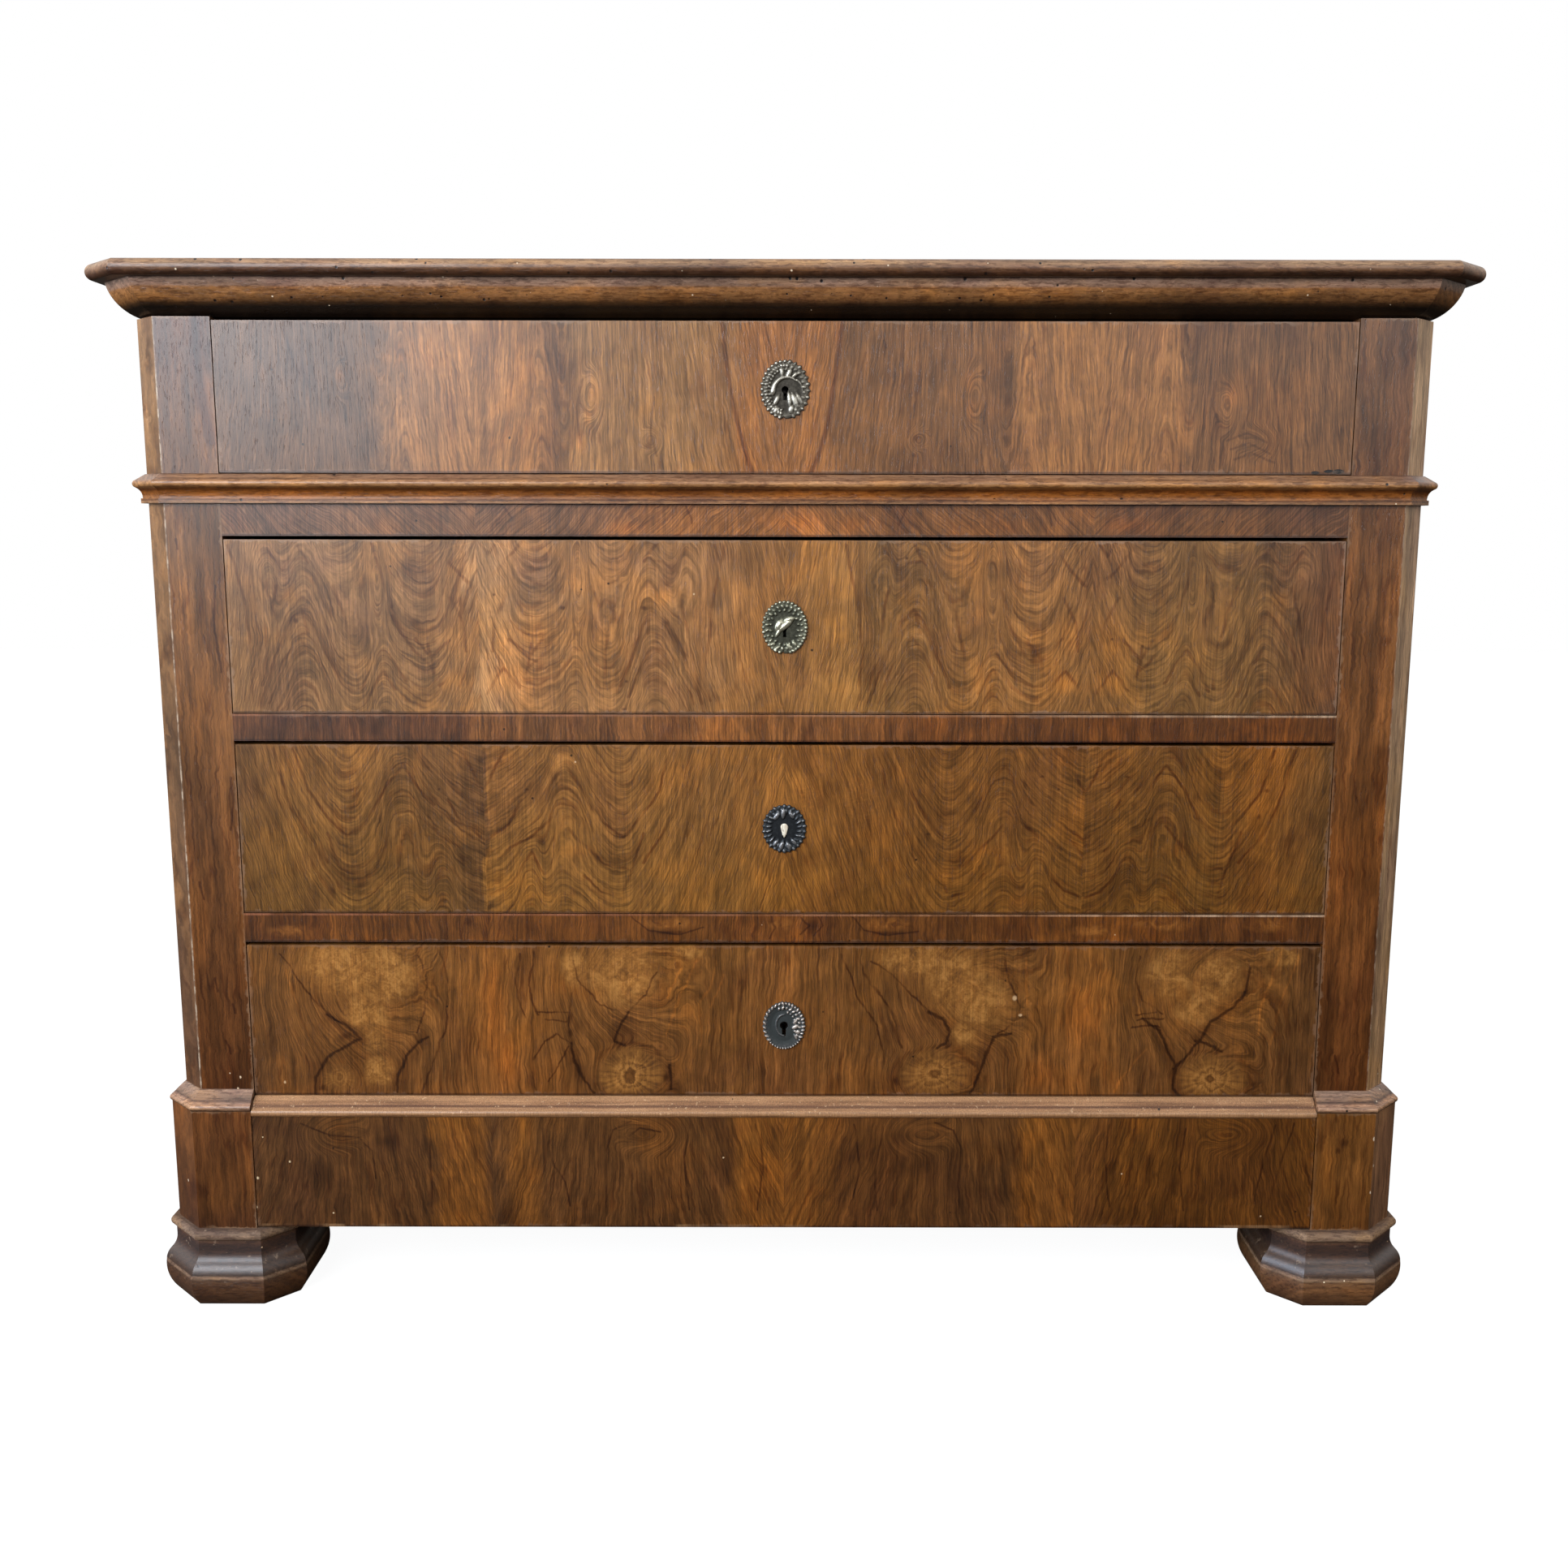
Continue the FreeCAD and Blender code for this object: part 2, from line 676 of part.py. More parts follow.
def dovetails(root_y, tip_y, low, high, x0, x1, margin):
    """A row of tails on the end of a drawer side, grown by a margin to give the sockets."""
    count = max(2, round((high - low) / tail_spacing))
    pitch = (high - low) / count
    step = 1 if tip_y > root_y else -1
    length = abs(tip_y - root_y)
    wide = pitch * tail_width_share / 2 + margin
    narrow = wide - length * tail_slope
    tails = []
    for number in range(count):
        middle = low + (number + 0.5) * pitch
        tip = tip_y + step * margin
        corners = [(root_y, middle - narrow), (tip, middle - wide),
                   (tip, middle + wide), (root_y, middle + narrow)]
        ring = [Vector(x0, y, z) for y, z in corners]
        tails.append(Part.Face(Part.makePolygon(ring + ring[:1])).extrude(Vector(x1 - x0, 0, 0)))
    return tails


def keyhole(z, y0, y1):
    """A round hole with a slot below it, through whatever stands between two depths."""
    eye = Part.makeCylinder(keyhole_radius, y1 - y0, Vector(0, y0, z), Vector(0, 1, 0))
    slot = block(-keyhole_slot / 2, keyhole_slot / 2, y0, y1, z - keyhole_drop, z)
    return fused([eye, slot])


def make_box(name, shelf, side_high, front, front_back_y, extra=()):
    """A drawer: its front lapped over dovetailed sides, a back through-dovetailed between them,
    and a bottom that slides in under the back. The front comes as a plain solid."""
    half = opening_half - side_gap
    side_low = shelf + running_gap
    back_front_y = drawer_rear_y - back_panel_thickness
    tail_tip = front_back_y - tail_length
    floor_low = side_low + bottom_lift
    floor_high = floor_low + bottom_thickness
    back_high = side_high - back_drop
    inner = half - side_thickness
    front_rows = (front_back_y, tail_tip, side_low, side_high)
    rear_rows = (back_front_y, drawer_rear_y, floor_high, back_high)
    tails = dovetails(*front_rows, inner, half, 0) + dovetails(*rear_rows, inner, half, 0)
    board = block(inner, half, front_back_y, back_front_y, side_low, side_high)
    side = board.fuse(tails)
    groove_wall = inner + bottom_groove
    groove = block(inner - overrun, groove_wall + joint_gap, front_back_y - tail_length - overrun,
                   drawer_rear_y + overrun, floor_low - joint_gap, floor_high + joint_gap)
    side = side.cut(groove).removeSplitter()
    sockets = dovetails(*front_rows, inner - joint_gap, half + overrun, joint_gap)
    front = front.cut(sockets + [mirrored(socket) for socket in sockets])
    groove_half = groove_wall + joint_gap
    front_groove = block(-groove_half, groove_half, front_back_y - bottom_groove - joint_gap,
                         front_back_y + overrun, floor_low - joint_gap, floor_high + joint_gap)
    front = front.cut(front_groove)
    sockets = dovetails(*rear_rows, inner - joint_gap, half + overrun, joint_gap)
    back = block(-half, half, back_front_y + joint_gap, drawer_rear_y, floor_high + joint_gap, back_high)
    back = back.cut(sockets + [mirrored(socket) for socket in sockets])
    floor_half = groove_wall - bottom_margin
    floor = block(-floor_half, floor_half, front_back_y - bottom_groove + bottom_margin, drawer_rear_y,
                  floor_low, floor_high)
    save(name + "_front", front, *extra)
    save(name + "_sides", side, mirrored(side))
    save(name + "_back", back)
    save(name + "_bottom", floor)


def lock_case_blank(drawer, margin):
    """The lock's box and the selvedge over it, grown by a margin to give their recess."""
    back = front_y + front_thickness
    high = drawer["high"]
    eye = drawer["eye"]
    box = block(-lock_width / 2 - margin, lock_width / 2 + margin, back - lock_thickness - margin, back,
                eye - lock_below - margin, high)
    selvedge = block(-selvedge_width / 2 - margin, selvedge_width / 2 + margin,
                     back - selvedge_depth - margin, back, high - selvedge_thickness - margin, high)
    return fused([box, selvedge])


def make_lock(drawer):
    """A lock let into the back of the front: a box with a drill pin, and a bolt that rises."""
    back = front_y + front_thickness
    high = drawer["high"]
    eye = drawer["eye"]
    case = lock_case_blank(drawer, 0)
    case = case.cut(bolt_slot(running_gap, eye - key_room, high + overrun))
    case = case.cut(keyhole(eye, back - lock_thickness - overrun, bolt_back_y() - bolt_thickness))
    pin = Part.makeCylinder(key_pin_radius, lock_thickness, Vector(0, back - lock_thickness, eye),
                            Vector(0, 1, 0))
    save(drawer["name"] + "_lock", case.fuse(pin))
    save(drawer["name"] + "_bolt", bolt_slot(0, eye + bolt_foot, high - bolt_rest_drop))


def scalloped_plate(drawer):
    """An oval plate round the keyhole, whose rim is a ring of small round scallops."""
    eye = drawer["eye"]
    edges = []
    for number in range(scallop_count):
        ring = []
        for part_turn, swell in ((0, 0), (0.5, scallop_share), (1, 0)):
            angle = 2 * math.pi * (number + part_turn) / scallop_count
            out = 1 - scallop_share + swell
            ring.append(Vector(out * drawer["plate_width"] / 2 * math.cos(angle), front_y,
                               eye + out * drawer["plate_height"] / 2 * math.sin(angle)))
        edges.append(Part.Arc(*ring).toShape())
    return Part.Face(Part.Wire(edges)).extrude(Vector(0, -plate_thickness, 0))


def oval(share, thickness, drawer):
    """A plain upright oval slab of four arcs, round the keyhole, at a share of the plate's size."""
    half = share * drawer["plate_width"] / 2
    rise = share * drawer["plate_height"] / 2
    end = oval_end_share * half
    side = (half ** 2 + (rise - end) ** 2 - end ** 2) / (2 * (half - end))
    reach = side / (side - end)
    meet_x = (side - half) * (reach - 1)
    meet_z = (rise - end) * reach
    ring = ((meet_x, -meet_z), (half, 0), (meet_x, meet_z), (0, rise),
            (-meet_x, meet_z), (-half, 0), (-meet_x, -meet_z), (0, -rise), (meet_x, -meet_z))
    eye = drawer["eye"]
    points = [Vector(x, front_y, eye + z) for x, z in ring]
    arcs = [Part.Arc(*points[start:start + 3]).toShape() for start in range(0, len(points) - 1, 2)]
    return Part.Face(Part.Wire(arcs)).extrude(Vector(0, -thickness, 0))


def make_escutcheon(drawer):
    """A cast plate: scalloped rim, raised ring and lower field round the keyhole."""
    high = plate_thickness + ring_rise
    ring = oval(ring_share, high, drawer).cut(oval(field_share, high, drawer))
    field = oval(field_share, plate_thickness + field_rise, drawer)
    whole = scalloped_plate(drawer).fuse([ring, field])
    hole = keyhole(drawer["eye"], front_y - high - overrun, front_y + overrun)
    save(drawer["name"] + "_escutcheon", whole.cut(hole).removeSplitter())


def make_locked_drawer(drawer):
    half = opening_half - side_gap
    back = front_y + front_thickness
    front = block(-half, half, front_y, back, drawer["low"], drawer["high"])
    recess = lock_case_blank(drawer, joint_gap).fuse(
        block(-lock_width / 2, lock_width / 2, back - lock_thickness, back + overrun,
              drawer["eye"] - lock_below, drawer["high"] + overrun))
    front = front.cut([recess, keyhole(drawer["eye"], front_y - overrun, back)])
    make_box(drawer["name"], drawer["shelf"], drawer["high"] - side_drop, front, back)
    make_lock(drawer)
    make_escutcheon(drawer)


def make_plinth_drawer():
    """The hidden drawer: its front stands proud between the blocks, under its own moulding, and
    covers the rails over and under the box. The moulding is a strip glued along its top."""
    half = opening_half - side_gap
    face = front_y - block_projection
    back = face + plinth_front_thickness
    low = foot_top + plinth_front_lift
    high = plinth_rail_top
    strip_low = high - plinth_front_moulding
    panel = block(-half, half, face, back, low, high)
    strip_back = front_y - plinth_bead + plinth_strip_depth
    rebate = block(-top_width, top_width, face - overrun, strip_back, strip_low, high + overrun)
    curve = plinth_curve(strip_low, plinth_front_moulding, plinth_front_bead_height)
    bar = moulded_bar(curve, -front_y, strip_back, False)
    bar.rotate(Vector(0, 0, 0), Vector(0, 0, 1), -90)
    strip = bar.common(block(-half, half, front_y - board_overhang, strip_back, strip_low, high))
    side_high = plinth_rail_top - plinth_rail_height - side_drop
    make_box("plinth_drawer", base_rail_top, side_high, panel.cut(rebate), back, [strip])


def main():
    os.makedirs("parts", exist_ok=True)
    make_top_board()
    make_cornice()
    make_rails()
    make_strike_plates()
    make_posts()
    make_side_panels()
    make_back()
    make_applied_mouldings()
    make_feet()
    make_runners()
    make_stops()
    for drawer in locked_drawers:
        make_locked_drawer(drawer)
    make_plinth_drawer()


main()
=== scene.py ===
# %% [markdown]
# # A walnut chest of drawers
#
# The chest is a carcass with four drawers behind veneered fronts, a fifth one hidden in the
# plinth, mouldings mitred round cut corners, two eight-sided feet and four cast brass
# keyhole plates. The CAD model gives every piece its place and size. This lesson gives the
# chest its finish: the veneers, the wax, a century and a half of wear, and the castings.
#
# The first cell loads the CAD model. Its pieces sit where the CAD puts them and are never
# moved. The box round them is kept, and written out at the end beside the finished model's box.

# %% Load the frame
import bpy
import json
import math
from mathutils import Matrix, Vector
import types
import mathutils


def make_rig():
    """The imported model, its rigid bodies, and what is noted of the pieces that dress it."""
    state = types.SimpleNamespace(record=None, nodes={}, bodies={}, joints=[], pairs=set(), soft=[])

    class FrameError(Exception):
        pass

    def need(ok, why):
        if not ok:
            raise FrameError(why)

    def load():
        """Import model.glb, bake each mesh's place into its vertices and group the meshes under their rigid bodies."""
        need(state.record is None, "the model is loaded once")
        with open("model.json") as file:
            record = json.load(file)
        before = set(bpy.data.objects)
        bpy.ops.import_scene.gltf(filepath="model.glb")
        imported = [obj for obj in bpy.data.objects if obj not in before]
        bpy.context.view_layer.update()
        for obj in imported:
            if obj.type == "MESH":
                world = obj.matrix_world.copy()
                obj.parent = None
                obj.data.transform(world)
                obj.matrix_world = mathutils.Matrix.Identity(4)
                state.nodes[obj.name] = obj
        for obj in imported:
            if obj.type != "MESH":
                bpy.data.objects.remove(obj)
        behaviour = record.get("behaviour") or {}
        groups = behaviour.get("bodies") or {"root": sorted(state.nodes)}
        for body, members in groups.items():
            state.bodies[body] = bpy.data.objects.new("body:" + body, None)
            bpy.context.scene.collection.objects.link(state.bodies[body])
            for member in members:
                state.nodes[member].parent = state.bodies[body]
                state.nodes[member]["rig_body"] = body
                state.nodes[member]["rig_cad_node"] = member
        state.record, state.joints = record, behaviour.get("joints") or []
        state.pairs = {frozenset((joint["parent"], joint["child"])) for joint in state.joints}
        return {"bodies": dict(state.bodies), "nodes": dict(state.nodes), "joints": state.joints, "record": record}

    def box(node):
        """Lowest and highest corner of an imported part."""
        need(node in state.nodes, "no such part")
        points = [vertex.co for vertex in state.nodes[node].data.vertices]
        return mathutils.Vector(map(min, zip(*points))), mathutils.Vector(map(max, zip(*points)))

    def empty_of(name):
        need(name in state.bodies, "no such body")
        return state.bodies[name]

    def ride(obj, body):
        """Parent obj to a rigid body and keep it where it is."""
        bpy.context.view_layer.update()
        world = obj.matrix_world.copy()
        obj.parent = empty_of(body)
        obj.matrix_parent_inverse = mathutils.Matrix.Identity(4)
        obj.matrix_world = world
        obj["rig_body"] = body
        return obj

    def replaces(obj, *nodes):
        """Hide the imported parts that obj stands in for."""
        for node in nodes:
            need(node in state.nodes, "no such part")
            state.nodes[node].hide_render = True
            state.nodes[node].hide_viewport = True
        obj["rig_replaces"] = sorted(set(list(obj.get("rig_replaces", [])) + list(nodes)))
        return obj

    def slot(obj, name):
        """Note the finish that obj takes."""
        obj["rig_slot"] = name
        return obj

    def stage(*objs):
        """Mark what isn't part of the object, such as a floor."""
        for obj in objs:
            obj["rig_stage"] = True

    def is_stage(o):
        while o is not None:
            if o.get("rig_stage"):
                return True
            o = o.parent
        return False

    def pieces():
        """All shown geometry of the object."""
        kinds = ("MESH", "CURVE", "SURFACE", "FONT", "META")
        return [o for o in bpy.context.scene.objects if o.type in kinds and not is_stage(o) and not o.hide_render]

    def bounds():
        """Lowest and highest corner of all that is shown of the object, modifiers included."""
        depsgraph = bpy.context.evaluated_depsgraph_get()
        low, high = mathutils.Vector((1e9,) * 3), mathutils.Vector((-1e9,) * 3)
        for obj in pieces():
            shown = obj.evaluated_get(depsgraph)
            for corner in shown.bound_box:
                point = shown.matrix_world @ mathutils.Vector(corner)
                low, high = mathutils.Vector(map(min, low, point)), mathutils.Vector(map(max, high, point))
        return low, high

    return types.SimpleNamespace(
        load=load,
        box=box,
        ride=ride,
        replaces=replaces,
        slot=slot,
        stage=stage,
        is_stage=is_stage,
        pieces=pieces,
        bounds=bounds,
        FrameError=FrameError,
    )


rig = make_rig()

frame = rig.load()
cad_box = [list(corner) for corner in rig.bounds()]
print("CAD box in metres:", [[round(value, 4) for value in corner] for corner in cad_box])

# %% [markdown]
# ## The camera
#
# The photograph was taken from a little over the drawers' middle, close by, with the camera
# tipped down by some nine degrees, so the uprights draw together downwards. A lens of 35 mm
# on a 36 mm sensor gives that. The small turn about the line of sight is the photographer's.

# %% Camera
def place_camera(place, tip, roll, lens):
    data = bpy.data.cameras.new("photo_camera")
    data.lens = lens
    data.sensor_width = 36.0
    camera = bpy.data.objects.new("photo_camera", data)
    bpy.context.scene.collection.objects.link(camera)
    turn = Matrix.Rotation(math.radians(90.0 - tip), 4, "X") @ Matrix.Rotation(math.radians(roll), 4, "Z")
    camera.matrix_world = Matrix.Translation(place) @ turn
    bpy.context.scene.camera = camera
    return camera


camera = place_camera(Vector((-0.0004, -1.6597, 0.7506)), 9.43, 0.10, 35.01)
print("camera", camera.name, "lens", camera.data.lens)

# %% [markdown]
# ## A short way to write nodes
#
# A material is a tree of small nodes. Writing each node in four lines would hide the wood
# behind the wiring, so a little helper class adds a node, types or plugs its inputs and
# hands back the socket that the next node needs.

# %% Outputs that can be reckoned with
class Output:
    """A node's output. Each + - * / on it adds one Math node."""

    def __init__(self, tree, socket):
        self.tree = tree
        self.socket = socket

    def __add__(self, other):
        return self.tree.math("ADD", self, other)

    def __radd__(self, other):
        return self.tree.math("ADD", other, self)

    def __sub__(self, other):
        return self.tree.math("SUBTRACT", self, other)

    def __rsub__(self, other):
        return self.tree.math("SUBTRACT", other, self)

    def __mul__(self, other):
        return self.tree.math("MULTIPLY", self, other)

    def __truediv__(self, other):
        return self.tree.math("DIVIDE", self, other)


class Outputs(dict):
    """A node's outputs by name, which can also be unpacked in order."""

    def __init__(self, tree, sockets):
        super().__init__((socket.name, Output(tree, socket)) for socket in sockets)

    def __iter__(self):
        return iter(self.values())


print("outputs ready")

# %% Node helper
class Tree:
    """A material's or a group's node tree, with short calls that give back an output."""

    def __init__(self, tree):
        self.tree = tree

    def plug(self, socket, value):
        if isinstance(value, Output):
            self.tree.links.new(value.socket, socket)
        elif isinstance(value, bpy.types.NodeSocket):
            self.tree.links.new(value, socket)
        else:
            socket.default_value = value

    def node(self, kind, inputs=(), **settings):
        made = self.tree.nodes.new("ShaderNode" + kind)
        for name, value in settings.items():
            setattr(made, name, value)
        for key, value in dict(inputs).items():
            self.plug(made.inputs[key], value)
        return made

    def only(self, made, output=0):
        """One output of a node that was made."""
        return Output(self, made.outputs[output])

    def math(self, operation, first, second=0.0, third=0.0):
        return self.only(self.node("Math", {0: first, 1: second, 2: third}, operation=operation))

    def larger(self, first, second):
        return self.math("MAXIMUM", first, second)

    def size(self, value):
        return self.math("ABSOLUTE", value)

    def vector(self, operation, first, second=(0.0, 0.0, 0.0), output=0):
        return self.only(self.node("VectorMath", {0: first, 1: second}, operation=operation), output)

    def scaled(self, vector, x, y, z):
        return self.vector("MULTIPLY", vector, (x, y, z))

    def split(self, vector):
        return Outputs(self, self.node("SeparateXYZ", {0: vector}).outputs)

    def join(self, x, y, z):
        return self.only(self.node("CombineXYZ", {0: x, 1: y, 2: z}))

    def fade(self, value, low, high, to_low=0.0, to_high=1.0):
        """Goes smoothly from to_low to to_high while value goes from low to high."""
        made = self.node("MapRange", {"Value": value, "From Min": low, "From Max": high,
                                      "To Min": to_low, "To Max": to_high},
                         interpolation_type="SMOOTHSTEP", clamp=False)
        return self.only(made, "Result")

    def fall(self, value, low, high, top=1.0):
        """top up to low, falling to 0 at high."""
        return self.fade(value, low, high, top, 0.0)

    def noise(self, vector, scale=1.0, detail=2.0, rough=0.5, twist=0.0, sheet=None):
        inputs = {"Vector": vector, "Scale": scale, "Detail": detail, "Roughness": rough,
                  "Distortion": twist}
        if sheet is not None:
            inputs["W"] = sheet
        made = self.node("TexNoise", inputs, noise_dimensions="3D" if sheet is None else "4D")
        return self.only(made, "Fac")

    def noise_colour(self, vector, scale=1.0, detail=2.0, rough=0.5):
        inputs = {"Vector": vector, "Scale": scale, "Detail": detail, "Roughness": rough}
        return self.only(self.node("TexNoise", inputs), "Color")

    def mix(self, share, first, second, blend="MIX"):
        made = self.node("Mix", data_type="RGBA", blend_type=blend)
        for socket, value in (("Factor_Float", share), ("A_Color", first), ("B_Color", second)):
            self.plug([s for s in made.inputs if s.identifier == socket][0], value)
        return Output(self, [s for s in made.outputs if s.identifier == "Result_Color"][0])

    def ramp(self, value, stops, interpolation="LINEAR"):
        """A colour ramp from (place, colour) pairs, with places from 0 to 1."""
        made = self.node("ValToRGB", {0: value})
        made.color_ramp.interpolation = interpolation
        elements = made.color_ramp.elements
        elements[0].position, elements[0].color = stops[0][0], as_colour(stops[0][1])
        elements[1].position, elements[1].color = stops[-1][0], as_colour(stops[-1][1])
        for place, colour in stops[1:-1]:
            elements.new(place).color = as_colour(colour)
        return self.only(made)

    def curve(self, value, points, pointed=True):
        """A drawn curve through points, with places and heights from 0 to 1."""
        made = self.node("FloatCurve", {"Value": value})
        line = made.mapping.curves[0]
        line.points[0].location = points[0]
        line.points[1].location = points[-1]
        for point in points[1:-1]:
            line.points.new(point[0], point[1])
        for point in line.points:
            point.handle_type = "VECTOR" if pointed else "AUTO"
        made.mapping.update()
        return self.only(made)

    def group(self, built, inputs=()):
        return Outputs(self, self.node("Group", inputs, node_tree=built).outputs)


print("node helper ready")

# %% Colours
def srgb(red, green, blue):
    """A colour as a picture editor gives it, from 0 to 255, as Blender's linear colour."""
    line = []
    for value in (red, green, blue):
        share = value / 255.0
        line.append(share / 12.92 if share <= 0.04045 else ((share + 0.055) / 1.055) ** 2.4)
    return (line[0], line[1], line[2], 1.0)


def as_colour(value):
    """Three numbers from 0 to 255 become a colour of Blender's; a socket stays what it is."""
    return srgb(*value) if isinstance(value, tuple) and len(value) == 3 else value


print("middle grey is", [round(value, 3) for value in srgb(128, 128, 128)])

# %% Node groups
def new_group(name, inputs, outputs):
    """An empty shader node group with named inputs and outputs, and its helper."""
    built = bpy.data.node_groups.new(name, "ShaderNodeTree")
    kinds = {"number": "NodeSocketFloat", "vector": "NodeSocketVector", "colour": "NodeSocketColor"}
    for label, kind, value in inputs:
        socket = built.interface.new_socket(name=label, in_out="INPUT", socket_type=kinds[kind])
        if value is not None:
            socket.default_value = value
    for label, kind in outputs:
        built.interface.new_socket(name=label, in_out="OUTPUT", socket_type=kinds[kind])
    start = built.nodes.new("NodeGroupInput")
    end = built.nodes.new("NodeGroupOutput")
    tree = Tree(built)
    return built, tree, Outputs(tree, start.outputs), end


def finish_group(tree, end, results):
    for label, socket in results.items():
        tree.plug(end.inputs[label], socket)


print("group helper ready")

# %% [markdown]
# ## Floor, air and light
#
# The photograph is cut out on white, with only a breath of shadow near the feet. A studio
# does that with a floor and backdrop that are lit until they burn out. Here the floor glows
# a little for the camera. For light that bounces off it, it is the dark floor of a room, so
# that undersides stay dark; the cornice's underside is also painted black as shade.

# %% Floor and backdrop
def make_floor():
    bpy.ops.object.select_all(action="DESELECT")
    bpy.ops.mesh.primitive_plane_add(size=16.0, location=(0.0, 0.0, 0.0))
    floor = bpy.context.active_object
    floor.name = "studio_floor"
    material = bpy.data.materials.new("pale_studio_floor")
    material.use_nodes = True
    tree = Tree(material.node_tree)
    tree.tree.nodes.clear()
    place = tree.node("TexCoord").outputs["Object"]
    cloud = tree.noise(place, 3.0, 3.0)
    pale = tree.ramp(cloud, [(0.0, (238, 237, 235)), (1.0, (250, 249, 247))])
    room = tree.ramp(cloud, [(0.0, (50, 40, 32)), (1.0, (60, 48, 38))])
    path = tree.node("LightPath").outputs["Is Camera Ray"]
    seen = tree.node("BsdfDiffuse", {"Color": pale})
    glow = tree.node("Emission", {"Color": (1.0, 1.0, 1.0, 1.0), "Strength": 1.15})
    burnt = tree.node("MixShader", {0: 0.82, 1: seen.outputs[0], 2: glow.outputs[0]})
    dark = tree.node("BsdfDiffuse", {"Color": room})
    both = tree.node("MixShader", {0: path, 1: dark.outputs[0], 2: burnt.outputs[0]})
    tree.node("OutputMaterial", {"Surface": both.outputs[0]})
    floor.data.materials.append(material)
    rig.stage(floor)
    return floor


floor = make_floor()
print("floor", tuple(round(v, 2) for v in floor.dimensions))

# %% Air round the chest
def make_air():
    """White for the camera. For the wood's gloss: bright walls at the sides and behind, a dim room in front."""
    world = bpy.data.worlds.new("studio_air")
    world.use_nodes = True
    bpy.context.scene.world = world
    tree = Tree(world.node_tree)
    tree.tree.nodes.clear()
    way = tree.node("TexCoord").outputs["Generated"]
    axes = tree.split(way)
    front = tree.fade(axes["Y"], -0.85, 0.25)
    height = tree.fade(axes["Z"], -0.25, 0.75)
    wall = front * (0.35 + height * 0.65)
    level = wall * 0.9 + height * 0.25
    level = level + 0.06
    colour = tree.mix(height, srgb(236, 226, 214), srgb(232, 238, 246))
    room = tree.node("Background", {"Color": colour, "Strength": level})
    white = tree.node("Background", {"Color": (1.0, 1.0, 1.0, 1.0), "Strength": 1.0})
    path = tree.node("LightPath").outputs["Is Camera Ray"]
    both = tree.node("MixShader", {0: path, 1: room.outputs[0], 2: white.outputs[0]})
    tree.node("OutputWorld", {"Surface": both.outputs[0]})
    return world


make_air()
bpy.context.scene.view_settings.view_transform = "Standard"
print("air and view transform set")

# %% [markdown]
# ## The window
#
# The chest is brightest and greyest at its upper left, where the wax mirrors a window, and
# falls to a deep brown at its lower right. One large soft light at the upper left, in front,
# gives both the fall of light and that bluish veil. A weaker one stands at the right, a door
# far at the left draws the bright band on the right foot, and a little light comes from above.

# %% Lights
def add_window(name, place, target, width, height, power, colour):
    data = bpy.data.lights.new(name, "AREA")
    data.shape = "RECTANGLE"
    data.size = width
    data.size_y = height
    data.energy = power
    data.color = colour[:3]
    light = bpy.data.objects.new(name, data)
    bpy.context.scene.collection.objects.link(light)
    look = (Vector(target) - Vector(place)).to_track_quat("-Z", "Y")
    light.matrix_world = Matrix.Translation(place) @ look.to_matrix().to_4x4()
    light.visible_camera = False
    return light


daylight = srgb(240, 246, 255)
add_window("window_left", (-1.6, -2.6, 1.65), (0.0, -0.2, 0.75), 2.0, 1.5, 95.0, daylight)
add_window("window_right", (1.4, -2.8, 1.65), (0.0, -0.2, 0.75), 2.8, 1.5, 26.0, daylight)
add_window("garden_door", (-3.0, -1.5, 1.3), (0.0, -0.2, 0.4), 1.0, 1.8, 68.0, srgb(210, 228, 255))
add_window("sky_above", (0.2, -2.2, 3.0), (0.0, -0.1, 0.9), 3.0, 1.6, 8.0, srgb(255, 250, 242))
print("four soft lights")

# %% [markdown]
# ## Walnut
#
# Walnut has a warm brown ground, growth lines from a hair to a finger apart, fine open pores
# that look like short dark dashes, and under an old polish a soft sheen. Each of these is an
# effect that many pieces share, so each is a group with named inputs, built once.

# %% Group: hairlines and pores
def build_grain():
    """Grain along local Z: hairlines, wider streaks and the open pores."""
    inputs = [("Vector", "vector", None), ("Spread", "number", 1.0)]
    outputs = [("Hair", "number"), ("Streak", "number"), ("Pore", "number")]
    built, tree, start, end = new_group("grain_and_pores", inputs, outputs)
    spread = tree.vector("SCALE", start["Vector"])
    tree.plug(spread.socket.node.inputs["Scale"], start["Spread"])
    hair = tree.noise(tree.scaled(spread, 1100.0, 1100.0, 11.0), 1.0, 2.0, 0.6)
    streak = tree.noise(tree.scaled(spread, 190.0, 190.0, 3.2), 1.0, 3.0, 0.6, 0.6)
    dash = tree.noise(tree.scaled(spread, 1500.0, 1500.0, 130.0), 1.0, 1.0, 0.5)
    pore = tree.fade(dash, 0.63, 0.74)
    finish_group(tree, end, {"Hair": hair, "Streak": streak, "Pore": pore})
    return built


grain_group = build_grain()
print("group", grain_group.name)

